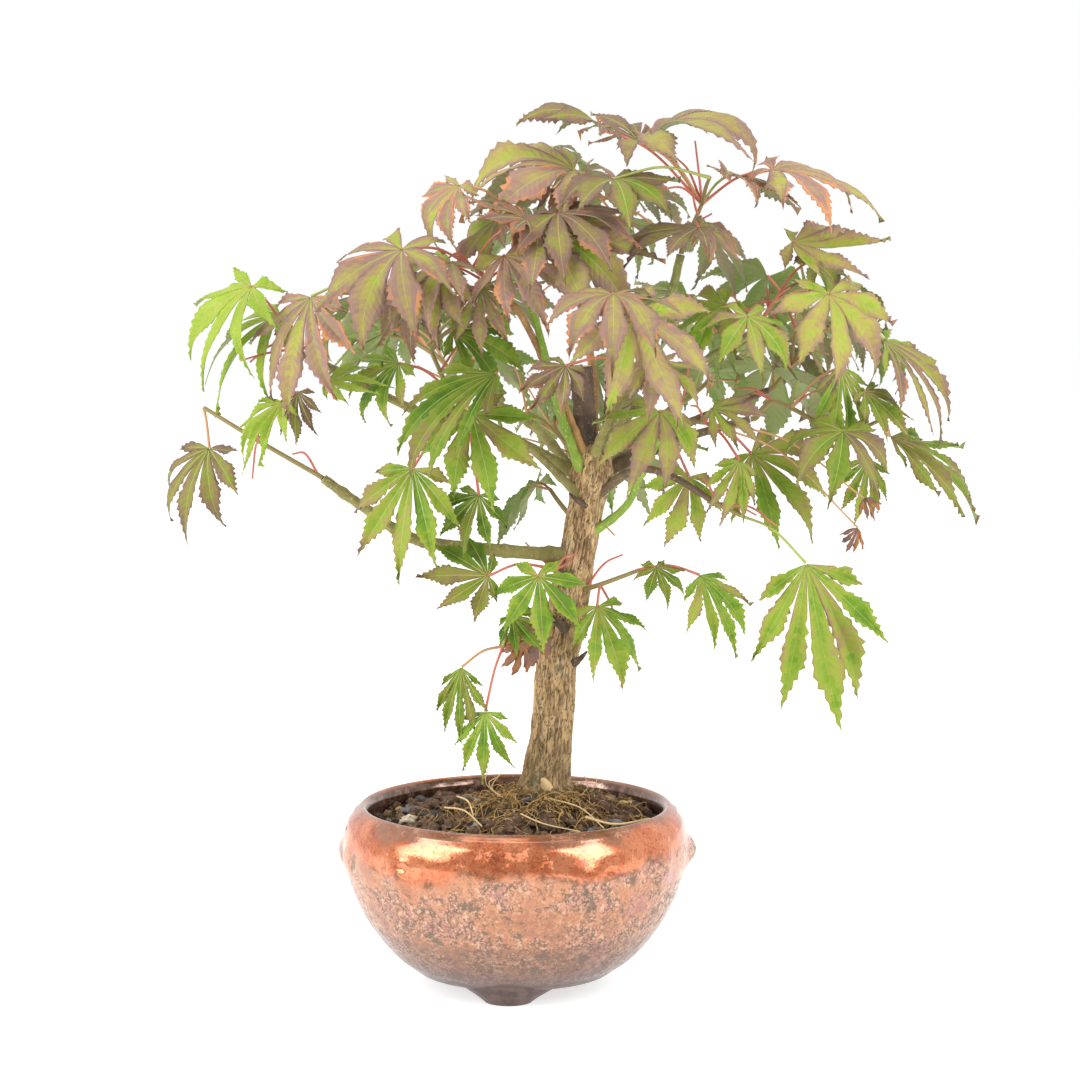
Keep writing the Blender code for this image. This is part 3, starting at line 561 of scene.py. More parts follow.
class Piece:
    """One piece as it is gathered: its points and faces, each face's finish, each point's map."""

    def __init__(self):
        self.points, self.faces, self.slots, self.maps, self.marks = [], [], [], [], []

    def add(self, points, faces, slots=0, maps=None, marks=None):
        start = len(self.points)
        self.points += points
        self.faces += [tuple(i + start for i in face) for face in faces]
        self.slots += [slots] * len(faces) if isinstance(slots, int) else slots
        self.maps += maps or [(0.0, 0.0)] * len(points)
        self.marks += marks or [0.0] * len(points)


def place(name, piece, finishes, slot, replaced=()):
    """The gathered piece as an object in the scene, in the look of its finishes."""
    mesh = bpy.data.meshes.new(name)
    mesh.from_pydata([on_floor(point) for point in piece.points], [], piece.faces)
    for finish in finishes:
        mesh.materials.append(finish)
    mesh.polygons.foreach_set("material_index", piece.slots)
    chart = mesh.uv_layers.new(name="surface")
    corners = [value for loop in mesh.loops for value in piece.maps[loop.vertex_index]]
    chart.data.foreach_set("uv", corners)
    mark = mesh.attributes.new("mark", "FLOAT", "POINT")
    mark.data.foreach_set("value", piece.marks)
    mesh.shade_smooth()
    mesh.validate()
    return enter(name, mesh, replaced)


def enter(name, mesh, replaced=()):
    made = bpy.data.objects.new(name, mesh)
    bpy.context.scene.collection.objects.link(made)
    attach(made, "root")
    if replaced:
        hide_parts(*replaced)
    return made


def screen(red, green, blue):
    """A screen colour, 0 to 255, as the shaders' linear one."""
    shares = (value / 255 for value in (red, green, blue))
    return tuple(s / 12.92 if s < 0.04 else ((s + 0.055) / 1.055) ** 2.4 for s in shares)


def tone_of(value):
    """A grey, a screen colour in whole numbers, or a linear colour, as a socket takes it."""
    if isinstance(value, float):
        return value, value, value, 1
    return (*(screen(*value) if isinstance(value[0], int) else value), 1)


def add(tree, kind, inputs=None, **settings):
    """A node with its settings; each input is a value or another node's output."""
    made = tree.nodes.new(kind)
    for key, value in settings.items():
        setattr(made, key, value)
    for key, value in (inputs or {}).items():
        if isinstance(value, bpy.types.NodeSocket):
            tree.links.new(value, made.inputs[key])
        else:
            made.inputs[key].default_value = value
    return made


def maths(tree, operation, first, second=0.0, clamp=False):
    made = add(tree, "ShaderNodeMath", {0: first, 1: second}, operation=operation, use_clamp=clamp)
    return made.outputs[0]


def times(tree, first, second, clamp=False):
    return maths(tree, "MULTIPLY", first, second, clamp)


def most(tree, first, second, clamp=False):
    return maths(tree, "MAXIMUM", first, second, clamp)


def rest(tree, share, clamp=False):
    """What is left of 1."""
    return maths(tree, "SUBTRACT", 1.0, share, clamp)


def vector_maths(tree, operation, first, second=(0, 0, 0), scale=1.0):
    made = add(tree, "ShaderNodeVectorMath", {0: first, 1: second, 3: scale},
               operation=operation)
    return made.outputs["Value" if operation == "LENGTH" else 0]


def blend(tree, share, first, second):
    """One colour turning into another."""
    made = add(tree, "ShaderNodeMix", data_type="RGBA")
    for index, value in ((0, share), (6, first), (7, second)):
        if isinstance(value, bpy.types.NodeSocket):
            tree.links.new(value, made.inputs[index])
        else:
            made.inputs[index].default_value = value if index == 0 else tone_of(value)
    return made.outputs[2]


def patch(tree, colour, mask, strength, tint):
    """A colour with a tint laid over it where the mask is."""
    return blend(tree, times(tree, mask, strength), colour, tint)


def steps(tree, share, stops, smooth=True):
    """A ramp of (place, colour) or (place, grey) stops."""
    made = add(tree, "ShaderNodeValToRGB", {0: share})
    ramp = made.color_ramp
    ramp.interpolation = "EASE" if smooth else "LINEAR"
    while len(ramp.elements) < len(stops):
        ramp.elements.new(0.5)
    for element, (at, value) in zip(ramp.elements, stops):
        element.position = at
        element.color = tone_of(value)
    return made.outputs[0]


def fade(tree, value, start, end, first=0.0, last=1.0, smooth=False):
    """A grey that goes from first to last as the value goes from start to end."""
    return steps(tree, value, ((start, first), (end, last)), smooth)


def speckle(tree, where, scale, detail=3.0, roughness=0.55, stretch=(1, 1, 1), distortion=0.0):
    """Noise over the piece, 0 to 1; scale is in patches per metre."""
    turned = add(tree, "ShaderNodeMapping", {"Vector": where, "Scale": stretch})
    made = add(tree, "ShaderNodeTexNoise", {
        "Vector": turned.outputs[0], "Scale": scale, "Detail": detail, "Roughness": roughness,
        "Distortion": distortion})
    return made.outputs[0]


def finish(name, colour=(0.5, 0.5, 0.5), roughness=0.5):
    """A new material with its shader, ready for a pattern: (material, tree, shader)."""
    made = bpy.data.materials.new(name)
    made.use_nodes = True
    made.diffuse_color = tone_of(colour)
    shader = made.node_tree.nodes["Principled BSDF"]
    shader.inputs["Base Color"].default_value = tone_of(colour)
    shader.inputs["Roughness"].default_value = roughness
    return made, made.node_tree, shader


def object_place(tree):
    return add(tree, "ShaderNodeTexCoord").outputs["Object"]


def finished(look, colour, height, strength, distance):
    """The material of a look, with its colour, if it has a pattern, and its relief joined on."""
    made, tree, shader = look
    if colour is not None:
        tree.links.new(colour, shader.inputs["Base Color"])
    bump = add(tree, "ShaderNodeBump", {
        "Height": height, "Strength": strength, "Distance": distance})
    tree.links.new(bump.outputs[0], shader.inputs["Normal"])
    return made


def group_of(name, values, results):
    """An empty shader group with named number sockets: (group, its input node, its output node)."""
    group = bpy.data.node_groups.new(name, "ShaderNodeTree")
    for key, value in values.items():
        socket = group.interface.new_socket(key, in_out="INPUT", socket_type="NodeSocketFloat")
        socket.default_value = value
    for key in results:
        group.interface.new_socket(key, in_out="OUTPUT", socket_type="NodeSocketFloat")
    return group, group.nodes.new("NodeGroupInput"), group.nodes.new("NodeGroupOutput")


def place_group(tree, group, inputs=None):
    made = add(tree, "ShaderNodeGroup", node_tree=group)
    for key, value in (inputs or {}).items():
        made.inputs[key].default_value = value
    return made


# ---------------------------------------------------------------- leaves

VEIN_SPACING = 2.6  # millimetres between two side veins
MAP_SPAN = 100.0  # millimetres of leaf across the map

# The autumn ramp, from deep green over bronze and mauve to the rust of a dry tip, and young lime
AUTUMN = (
    (98, 134, 38), (116, 150, 42), (136, 162, 50), (152, 166, 62), (162, 154, 78),
    (158, 138, 88), (152, 126, 98), (144, 114, 104), (158, 120, 106), (192, 132, 88),
)
AUTUMN_STEPS = 30
LIME_STEPS = 9
LIME = ((120, 150, 40), (142, 166, 52), (166, 182, 80))
RIBS = {"lime": (146, 168, 80), "rose": (176, 148, 102), "pale": (164, 172, 110)}
UNDERSIDES = ((132, 154, 84), (146, 158, 100), (150, 146, 110), (164, 144, 118))
# Each autumn tint also comes in a darker and a lighter copy: painted shade and painted light, dealt
# out at random by leaf
LIT_AND_SHADED_COPIES = {"dark": 0.64, "mid": 0.88, "light": 1.08}


def between(colours, share):
    """A colour at a place from 0 to 1 along a row of colours."""
    at = clamped(share) * (len(colours) - 1)
    first = min(int(at), len(colours) - 2)
    return tuple(a + (b - a) * (at - first) for a, b in zip(colours[first], colours[first + 1]))


def vein_group():
    """The quilting between a leaf's side veins: height, and how rough the blade is."""
    group, given, result = group_of(
        "leaf_veins", {"Spacing": VEIN_SPACING, "Sweep": 1.05}, ("Height", "Roughness"))
    chart = add(group, "ShaderNodeUVMap", uv_map="surface")
    parts = add(group, "ShaderNodeSeparateXYZ", {0: chart.outputs[0]})
    across = maths(group, "ABSOLUTE", maths(group, "SUBTRACT", parts.outputs[0], 0.5))
    along = maths(group, "SUBTRACT", parts.outputs[1], times(group, across, given.outputs["Sweep"]))
    turns = maths(group, "DIVIDE", times(group, along, MAP_SPAN * math.tau),
                  given.outputs["Spacing"])
    ridge = maths(group, "ABSOLUTE", maths(group, "SINE", times(group, turns, 0.5)))
    grain = speckle(group, object_place(group), 1500.0, 4.0)
    height = maths(group, "ADD", maths(group, "POWER", ridge, 0.6), times(group, grain, 0.5))
    group.links.new(height, result.inputs["Height"])
    rough = maths(group, "ADD", times(group, grain, 0.3), 0.38)
    group.links.new(rough, result.inputs["Roughness"])
    return group


VEINS = vein_group()


def leaf_finish(name, colour):
    look = _, tree, shader = finish(name, colour)
    veins = place_group(tree, VEINS)
    tree.links.new(veins.outputs["Roughness"], shader.inputs["Roughness"])
    shader.inputs["Specular IOR Level"].default_value = 0.2
    return finished(look, None, veins.outputs["Height"], 0.35, 0.0004)


def leaf_palette():
    """Every leaf finish, in the order of the slots, and the slot of each name."""
    finishes, slots = [], {}
    tints = {}
    # a darker, a middle and a lighter copy of every autumn tint, as painted shade and painted light
    for shade, light in LIT_AND_SHADED_COPIES.items():
        for i in range(AUTUMN_STEPS):
            tint = between(AUTUMN, i / (AUTUMN_STEPS - 1))
            tints[f"autumn_{i}_{shade}"] = tuple(value * light for value in screen(*tint))
    for i in range(LIME_STEPS):
        tints[f"lime_{i}"] = screen(*between(LIME, i / (LIME_STEPS - 1)))
    for key, tint in RIBS.items():
        tints[f"rib_{key}"] = screen(*tint)
    for i, tint in enumerate(UNDERSIDES):
        tints[f"underside_{i}"] = screen(*tint)
    for key, tint in tints.items():
        slots[key] = len(finishes)
        finishes.append(leaf_finish("leaf_" + key, tint))
    return finishes, slots


LEAF_FINISHES, LEAF_SLOTS = leaf_palette()

LOBE_ROWS = 26
BLADE_START = 0.008
COLUMNS = (-1.0, -0.72, -0.38, "left of rib", "right of rib", 0.38, 0.72, 1.0)
RIB_WIDTH = 0.34
FULL_HALF_WIDTH = 0.162  # a living lobe is fuller than the solid's, as a share of the blade
FULLEST = 0.42  # where along it a lobe is widest
LEAST_WIDTH = 0.4  # of that, on a leaf folded right up
WIDTH_STRAY = (0.86, 1.12)
SICKLE = 0.16  # how far a lobe may bow to one side
LOBE_FOOT = (0.3, 0.62)  # how wide a lobe is where it leaves the heart, as a share of its widest
YOUNG = 0.6  # how narrow the lobes of a young lime leaf are
TOOTH = (0.02, 0.15)  # how far a tooth stands out, as a share of the lobe's widest
TOOTH_NOTCH = (0.02, 0.14)  # how far the notch behind it goes in
TOOTH_LEAN = 0.3  # how far a tooth leans to the lobe's tip, as a share of a row
TOOTH_STRAY = 0.25
SIDE_VEIN_SWEEP = 0.45  # how far the side veins run forward, as a share of how far they run out
VEIN_GREEN = 0.02  # how much less a side vein has turned than the blade between two
SLIT = (0.24, 0.36, 0.92)  # from here to here along it, a lobe draws in to this share of its room
HALF_THICKNESS = 0.14
BASAL_GAP = 34
FOLD_MORE = 0.4  # how much steeper a leaf that is folded up is along each lobe's rib
DROOP = (-0.05, 0.34)  # how far a lobe's tip hangs, as a share of its length
TWIST = 0.6
WAVE = (0.3, 1.3)  # how far its margin waves up and down, in millimetres
CURL = (-0.1, 0.3)  # how far its margin curls under
DRY = 0.3  # a leaf that has turned more than this curls more
DRY_CURL = 0.7
TURN_STRAY = (-0.1, 0.14)  # how much more or less than its leaf a lobe has turned
BLOTCHES = 0.26  # and how much its larger and smaller patches have
MOTTLES = 0.16

SMALL_ROWS = 10
SMALL_COLUMNS = (-1.0, -0.4, 0.4, 1.0)


class Tint(NamedTuple):
    """How far a leaf has turned, how much further at its margin and its tips, its painted light and
    shade (the darker, middle or lighter copy of its tints that it wears) and its rib.
    """

    turned: float
    margin: float
    tip: float
    shade: str
    rib: str
    lime: bool = False


def tint_slot(tint, across, along, mottle):
    """The slot of one face of the blade, across and along its lobe."""
    if tint.lime:
        step = int((mottle * 0.9 + 0.5) * LIME_STEPS)
        return LEAF_SLOTS[f"lime_{min(LIME_STEPS - 1, max(0, step))}"]
    turned = tint.turned + tint.margin * across ** 1.8 + tint.tip * along ** 3 + mottle
    step = min(AUTUMN_STEPS - 1, max(0, int(turned * AUTUMN_STEPS)))
    return LEAF_SLOTS[f"autumn_{step}_{tint.shade}"]


def half_width(along, size, widest, gap, foot):
    """Half a lobe's width: held by its neighbour near the heart, full, then drawn to a point."""
    if along < FULLEST:
        fuller = math.sin(along / FULLEST * math.pi / 2) ** 2
        own = widest * (foot + (1 - foot) * fuller)
    else:
        past = (along - FULLEST) / (1 - FULLEST)
        own = widest * ((0.5 + 0.5 * math.cos(math.pi * past)) * 0.35 + 0.65 * (1 - past) ** 1.15)
    start, end, least = SLIT
    share = clamped((along - start) / (end - start))
    return min(along * size * math.tan(gap) * (1 - (1 - least) * share), own)


def somewhere(draw, span):
    """A place to take noise from."""
    return Vector([draw.uniform(0, span) for _ in range(3)])


def lobe_points(leaf, size, ahead, aside, gaps, draw, rows, columns, slim, foot):
    """One lobe's net, row by row: each point's flat place, how far along the lobe and how near
    its edge it is, as shares, and how far out and how far on it is, in millimetres."""
    share = size / leaf.length
    open_share = min(1.0, leaf.spread / OPEN_SPREAD)
    widest = FULL_HALF_WIDTH * leaf.length * math.sqrt(share) * (
        LEAST_WIDTH + (1 - LEAST_WIDTH) * open_share) * draw.uniform(*WIDTH_STRAY) * slim
    sickle = draw.uniform(-SICKLE, SICKLE)
    net = []
    for row in range(rows + 1):
        along = BLADE_START + (1 - BLADE_START) * row / rows
        rib = RIB_WIDTH / 2 * (1.15 - along)
        for k, column in enumerate(columns):
            gap = gaps[0] if k < len(columns) / 2 else gaps[1]
            half = half_width(along, size, widest, gap, foot)
            if isinstance(column, str):
                x = min(rib, half * 0.3) * (-1 if column == "left of rib" else 1)
            else:
                x = column * half
            swept = SIDE_VEIN_SWEEP * abs(x) * min(1.0, 4 * along) * (1 - along ** 3)
            reach = along * size + swept
            if not isinstance(column, str):
                free = along > SLIT[1]
                if abs(column) == 1.0 and free and row < rows:
                    outward = (row + (column > 0)) % 2
                    stands = draw.uniform(*TOOTH) if outward else -draw.uniform(*TOOTH_NOTCH)
                    x = column * max(half * 0.4, half + widest * stands * (1.1 - 0.5 * along))
                    lean = TOOTH_LEAN * outward + draw.uniform(-TOOTH_STRAY, TOOTH_STRAY)
                    reach += lean * size / rows
            bow = sickle * size * max(0.0, along - 0.3) ** 2
            flat = ahead * reach + aside * (x + bow)
            net.append((flat, along, abs(x) / max(half, 0.01), x, reach))
    return net


def lobe_blade(piece, leaf, tint, angle, share, gaps, draw, rows, columns, slim, foot):
    """One lobe as two sheets, closed round its toothed edge."""
    size = share * leaf.length
    turn = math.radians(angle * leaf.spread)
    ahead = Vector((math.sin(turn), math.cos(turn)))
    aside = Vector((ahead.y, -ahead.x))
    net = lobe_points(leaf, size, ahead, aside, gaps, draw, rows, columns, slim, foot)
    fold = FOLD + FOLD_MORE * (1 - leaf.spread)
    droop, twist = draw.uniform(*DROOP), draw.uniform(-TWIST, TWIST)
    wave, wave_turn = draw.uniform(*WAVE), draw.uniform(0, math.tau)
    curl = draw.uniform(*CURL) + DRY_CURL * max(0.0, tint.turned - DRY)
    turned_more = draw.uniform(*TURN_STRAY)
    mottling = somewhere(draw, 90)
    upper, lower, maps, faces, slots = [], [], [], [], []
    for flat, along, edge, x, reach in net:
        free = min(1.0, along / 0.4) ** 2
        z = fold * abs(x) - droop * size * along ** 3 + free * (
            twist * x + wave * edge * math.sin(wave_turn + along * 7) - curl * abs(x) * edge)
        thick = HALF_THICKNESS * (1 - 0.6 * along)
        upper.append(bent(leaf, flat.x, flat.y, z + thick))
        lower.append(bent(leaf, flat.x, flat.y, z - thick))
        maps.append((0.5 + x / MAP_SPAN, reach / MAP_SPAN))
    count, wide = len(upper), len(columns)
    for row in range(rows):
        for k in range(wide - 1):
            a = row * wide + k
            quad = (a, a + 1, a + wide + 1, a + wide)
            middle = (upper[a] + upper[a + wide + 1]) / 2
            mottle = (turned_more + BLOTCHES * noise.noise(mottling + middle * 0.09)
                      + MOTTLES * noise.noise(mottling + middle * 0.38))
            if 0 < k < wide - 2:
                mottle -= VEIN_GREEN if row % 2 else -VEIN_GREEN / 2
            on_rib = wide == len(COLUMNS) and k == 3 and row < rows - 2
            across = abs(2 * (k + 0.5) / (wide - 1) - 1)
            faces.append(quad)
            slots.append(LEAF_SLOTS["rib_" + tint.rib] if on_rib
                         else tint_slot(tint, across, (row + 0.5) / rows, mottle))
            faces.append(tuple(count + i for i in reversed(quad)))
            under = min(len(UNDERSIDES) - 1, max(0, int((tint.turned + mottle) * 5)))
            slots.append(LEAF_SLOTS[f"underside_{under}"])
        for a in (row * wide, row * wide + wide - 1):
            rim = (a, a + wide, count + a + wide, count + a)
            faces.append(rim if a % wide == 0 else rim[::-1])
            slots.append(slots[-2])
    last = rows * wide
    faces.append((*range(last, last + wide), *range(count + last + wide - 1, count + last - 1, -1)))
    faces.append((*range(wide - 1, -1, -1), *range(count, count + wide)))
    slots += [slots[-2]] * 2
    piece.add(upper + lower, faces, slots, maps * 2)


def leaf_blade(piece, leaf, tint, draw, small=False):
    """A whole blade, lobe by lobe."""
    lobes = LOBES[:3] if small else LOBES
    fan = [(-angle, share) for angle, share in reversed(lobes[1:])] + list(lobes)
    rows, columns = (SMALL_ROWS, SMALL_COLUMNS) if small else (LOBE_ROWS, COLUMNS)
    slim, foot = YOUNG if tint.lime else 1.0, draw.uniform(*LOBE_FOOT)
    for i, (angle, share) in enumerate(fan):
        gaps = []
        for j in (i - 1, i + 1):
            apart = abs(fan[j][0] - angle) / 2 if 0 <= j < len(fan) else BASAL_GAP
            gaps.append(math.radians(apart * leaf.spread))
        lobe_rows = rows if share > 0.5 else max(6, rows * 3 // 5 // 2 * 2)
        lobe_blade(piece, leaf, tint, angle, share, gaps, draw, lobe_rows, columns, slim, foot)


# ---------------------------------------------------------------- stems, twigs and petioles

def maker_tree(name, takes, gives):
    """An empty Geometry Nodes tree with named inputs: (tree, its input node, its output node)."""
    tree = bpy.data.node_groups.new(name, "GeometryNodeTree")
    for key, kind in takes.items():
        tree.interface.new_socket(key, in_out="INPUT", socket_type="NodeSocket" + kind)
    tree.interface.new_socket(gives, in_out="OUTPUT", socket_type="NodeSocketGeometry")
    return tree, tree.nodes.new("NodeGroupInput"), tree.nodes.new("NodeGroupOutput")


def tube_tree():
    """Geometry Nodes: tubes along the edges of a mesh, as thick as its radius attribute says."""
    tree, given, result = maker_tree(
        "tubes_along_ways", {"Ways": "Geometry", "Sides": "Int", "Finish": "Material"}, "Tubes")
    curve = add(tree, "GeometryNodeMeshToCurve", {"Mesh": given.outputs["Ways"]})
    ring = add(tree, "GeometryNodeCurvePrimitiveCircle", {
        "Resolution": given.outputs["Sides"], "Radius": 1.0})
    radius = add(tree, "GeometryNodeInputNamedAttribute", {"Name": "radius"}, data_type="FLOAT")
    tube = add(tree, "GeometryNodeCurveToMesh", {
        "Curve": curve.outputs[0], "Profile Curve": ring.outputs[0], "Scale": radius.outputs[0],
        "Fill Caps": True})
    smooth = add(tree, "GeometryNodeSetShadeSmooth", {"Geometry": tube.outputs[0]})
    real = add(tree, "GeometryNodeRealizeInstances", {"Geometry": smooth.outputs[0]})
    dressed = add(tree, "GeometryNodeSetMaterial", {
        "Geometry": real.outputs[0], "Material": given.outputs["Finish"]})
    tree.links.new(dressed.outputs[0], result.inputs[0])
    return tree


TUBES = tube_tree()


def socket_named(tree, name):
    """The identifier that a modifier knows the tree's input by."""
    return next(item.identifier for item in tree.interface.items_tree
                if item.name == name and item.in_out == "INPUT")


def made_by(tree, source, inputs):
    """The plain mesh that a Geometry Nodes tree makes from a mesh."""
    maker = bpy.data.objects.new("maker", source)
    bpy.context.scene.collection.objects.link(maker)
    modifier = maker.modifiers.new("nodes", "NODES")
    modifier.node_group = tree
    for key, value in inputs.items():
        modifier[socket_named(tree, key)] = value
    graph = bpy.context.evaluated_depsgraph_get()
    mesh = bpy.data.meshes.new_from_object(maker.evaluated_get(graph))
    bpy.data.objects.remove(maker)
    return mesh


def tubes(name, ways, finish_used, sides, replaced=()):
    """One piece of tubes along (points, radii) ways."""
    points, edges, radii = [], [], []
    for way, way_radii in ways:
        start = len(points)
        points += [on_floor(point) for point in way]
        radii += [radius * MM for radius in way_radii]
        edges += [(i, i + 1) for i in range(start, len(points) - 1)]
    source = bpy.data.meshes.new(name + "_ways")
    source.from_pydata(points, edges, [])
    thickness = source.attributes.new("radius", "FLOAT", "POINT")
    thickness.data.foreach_set("value", radii)
    mesh = made_by(TUBES, source, {"Sides": sides, "Finish": finish_used})
    mesh.name = name
    return enter(name, mesh, replaced)


# ---------------------------------------------------------------- bark

BARK_RINGS = 210
BARK_SIDES = 132
SOIL_COVER = 4.0  # how far the bark runs on down into the soil
FISSURE_DEPTH = 0.5
FISSURE_SPACING = 0.85
FISSURE_LENGTH = 5.5
LIMB_STEP = 1.1
LIMB_RING = 16
COLLAR_LENGTH = 9.0
NODE_SPACING = 17.0
NODE_LENGTH = 1.3  # how far along a limb a leaf node swells it
NODE_DARK = 1.1  # and how far it darkens it


def lerp(a, b, share):
    return a + (b - a) * share


def rows_at(rows, z):
    """The trunk's row (x, y, z, radius) at a height, rounded between its rows."""
    points = [Vector((row[0], row[1], row[3])) for row in rows]
    heights = [row[2] for row in rows]
    place = next((i for i in range(len(rows) - 2) if z < heights[i + 1]), len(rows) - 2)
    t = (z - heights[place]) / (heights[place + 1] - heights[place])
    a, d = points[max(0, place - 1)], points[min(len(rows) - 1, place + 2)]
    b, c = points[place], points[place + 1]
    return b if t < 0 else curve_point(a, b, c, d, t)


def fissure(x, y, z, spacing, length):
    """How deep in a fissure a point of the bark is, 0 on a plate and 1 at the bottom: long cracks
    up the stem, broken by short ones across it."""
    warp = noise.noise(Vector((x, y, z)) * 0.12) * 1.6
    upright = noise.noise(Vector((x / spacing, y / spacing, z / length + warp)))
    second = noise.noise(Vector((x / spacing + 31, y / spacing + 7, z / length * 1.7 - warp)))
    across = noise.noise(Vector((x / spacing * 0.6, y / spacing * 0.6, z / (spacing * 0.9) + 50)))
    crack = max(0.0, 1 - abs(upright) / 0.13, 0.8 - abs(second) / 0.12, 0.55 - abs(across) / 0.1)
    return min(1.0, crack)


SPIKES = (  # dead spurs on the trunk: foot, tip and radius at the foot
    ((17.5, -5.0, 124.5), (10.5, -9.5, 131.5), 2.0), ((19.5, -6.0, 142.0), (11, -9, 148.5), 1.7),
    ((20.0, -6.5, 113.0), (24.5, -9.5, 117.5), 1.5), ((24.0, -5.0, 167.0), (18.5, -9, 171.5), 1.4),
)
KNOTS = (  # height, turn in degrees from +x, radius, how far it stands out
    (111, -86, 3.4, 0.5), (128, -30, 2.4, 0.6), (165, -60, 2.2, 0.5), (92, 200, 3.0, 0.8),
    (148, 215, 2.6, 0.9), (101, -140, 2.2, 0.6), (176, -20, 3.2, 1.4), (175, 200, 3.4, 1.5),
)


def trunk_skin():
    """The trunk's bark: plates and fissures, knots, and ridges that run out into the roots."""
    piece = Piece()
    foot, top = TRUNK[0][2], TRUNK[-1][2]
    points, marks, maps = [], [], []
    for ring in range(BARK_RINGS + 1):
        z = lerp(foot - SOIL_COVER, top + 1.5, ring / BARK_RINGS)
        x, y, radius = rows_at(TRUNK, z)
        if z > top - 3:
            radius *= math.sqrt(max(0.02, 1 - ((z - top + 3) / 4.8) ** 2))
        ridge = RIDGE_DEPTH * math.exp(-max(0.0, z - foot) / RIDGE_HEIGHT)
        for k in range(BARK_SIDES):
            turn = math.tau * k / BARK_SIDES
            out = Vector((math.cos(turn), math.sin(turn), 0))
            reach = radius * (1 + ridge * math.cos(ROOT_RIDGES * turn))
            reach += 0.45 * noise.noise(Vector((out.x * 1.4, out.y * 1.4, z * 0.09)))
            deep = fissure(out.x * radius, out.y * radius, z, FISSURE_SPACING, FISSURE_LENGTH)
            reach += 0.28 - FISSURE_DEPTH * deep
            reach += 0.16 * noise.noise(Vector((out.x * radius, out.y * radius, z)) * 1.7)
            shadow = 0.0
            for height, degrees, size, proud in KNOTS:
                apart = (turn - math.radians(degrees) + math.pi) % math.tau - math.pi
                away = math.hypot(apart * radius, (z - height) * 0.8) / size
                if away < 2.2:
                    reach += proud * (math.exp(-away ** 2 * 1.3) - 0.9 * bell(away * 2.6))
                    shadow = max(shadow, 0.7 * bell(away * 1.9))
            points.append(Vector((x, y, z)) + out * reach)
            # the mark: painted shade in the fissures, where the bark is darker too, and painted
            # shadow in the knots' pits
            marks.append(min(1.0, max(deep, shadow)))
            maps.append((k / BARK_SIDES, z / MAP_SPAN))
    piece.add(points, ring_faces(BARK_RINGS + 1, BARK_SIDES), 0, maps, marks)
    return piece


def limb_skin(piece, way, foot, tip, seed, slots, cut=True, collar=0.0, relief=0.12, swell=0.22):
    """A limb's bark over its way: a collar at its foot, swollen leaf nodes, and a pale cut tip; its
    mark darkens the nodes and, as painted shade, the hollows of its relief.
    """
    total = sum((b - a).length for a, b in zip(way, way[1:]))
    gone, points, marks, radii = 0.0, [], [], []
    draw = random.Random(seed)
    nodes = []
    at = NODE_SPACING * draw.uniform(0.5, 0.9)
    while at < total - 2:
        nodes.append(at)
        at += NODE_SPACING * draw.uniform(0.7, 1.25)
    for i in range(len(way)):
        gone += (way[i] - way[i - 1]).length if i else 0
        radius = lerp(foot, tip, gone / total) * (1 + collar * bell(gone / COLLAR_LENGTH))
        for node in nodes:
            radius *= 1 + swell * bell((gone - node) / NODE_LENGTH)
        radii.append(radius)
    skin, faces = sweep(way, radii, LIMB_RING)
    shift = somewhere(draw, 60)
    for i, point in enumerate(skin):
        ring = i // LIMB_RING
        out = (point - way[ring]).normalized()
        rough = noise.noise(shift + Vector((point.x, point.y, point.z * 0.45)) * 1.1)
        gone = total * ring / (len(way) - 1)
        node_mark = max((bell((gone - node) / NODE_DARK) for node in nodes), default=0.0)
        points.append(point + out * rough * relief * radii[ring])
        # the mark darkens the leaf nodes, and the relief's hollows as painted shade
        marks.append(min(1.0, 0.5 - rough * 0.5 + 0.6 * node_mark))
    kinds = [slots[0]] * len(faces)
    if cut:
        kinds[1] = slots[1]
    piece.add(points, faces, kinds, None, marks)


def fine_way(points):
    """A way as smooth as the limb's skin needs."""
    points = [Vector(point) for point in points]
    span = max((b - a).length for a, b in zip(points, points[1:]))
    return smooth_way(points, max(4, int(span / LIMB_STEP)))


# ---------------------------------------------------------------- the pot and its soil

GLAZE_TURNS = 288
WALL_STEPS = 7
FOOT_STEPS = 5
PITS = (  # turn in degrees from the front, height, radius and depth of the small pits in the glaze
    (-80, 56.5, 1.2, 0.5), (-38.5, 50.5, 1.5, 0.6), (-9.5, 47.0, 1.5, 0.6), (28.5, 46.3, 1.2, 0.5),
    (32.5, 50.2, 1.3, 0.6), (51.5, 51.2, 1.4, 0.6), (-62, 45.0, 1.1, 0.4), (74, 46.5, 1.3, 0.5),
    (118, 49.0, 1.3, 0.5), (151, 46.0, 1.2, 0.5), (-112, 50.0, 1.4, 0.5), (-147, 46.5, 1.2, 0.5),
)
UNDER_SHOULDER = 40.0
KNOB_HEIGHT = 46.5
KNOB_REACH = 3.2


def round_profile(points, count):
    """A profile's points, rounded, with this many steps between two of them."""
    lifted = [Vector((radius, z, 0)) for radius, z in points]
    return [(point.x, point.y) for point in smooth_way(lifted, count)]


def glaze_shape(point):
    """How the glazed wall swells and dips at a point, in millimetres, beside the bosses."""
    turn = math.atan2(point.y, point.x)
    front = math.degrees(math.atan2(point.x, -point.y))
    out = 0.22 * noise.noise(point * 0.045) + 0.07 * noise.noise(point * 0.16)
    for degrees, z, size, deep in PITS:
        apart = math.radians((front - degrees + 180) % 360 - 180) * point.xy.length
        away = math.hypot(apart, point.z - z) / size
        if away < 3:
            out -= deep * bell(away * 1.4) - 0.15 * bell((away - 1.5) * 2.2)
    knob = math.exp(-(turn / 0.055) ** 2 - ((point.z - KNOB_HEIGHT) / 4.2) ** 2)
    return out + (KNOB_REACH - LUG_DEPTH) * knob


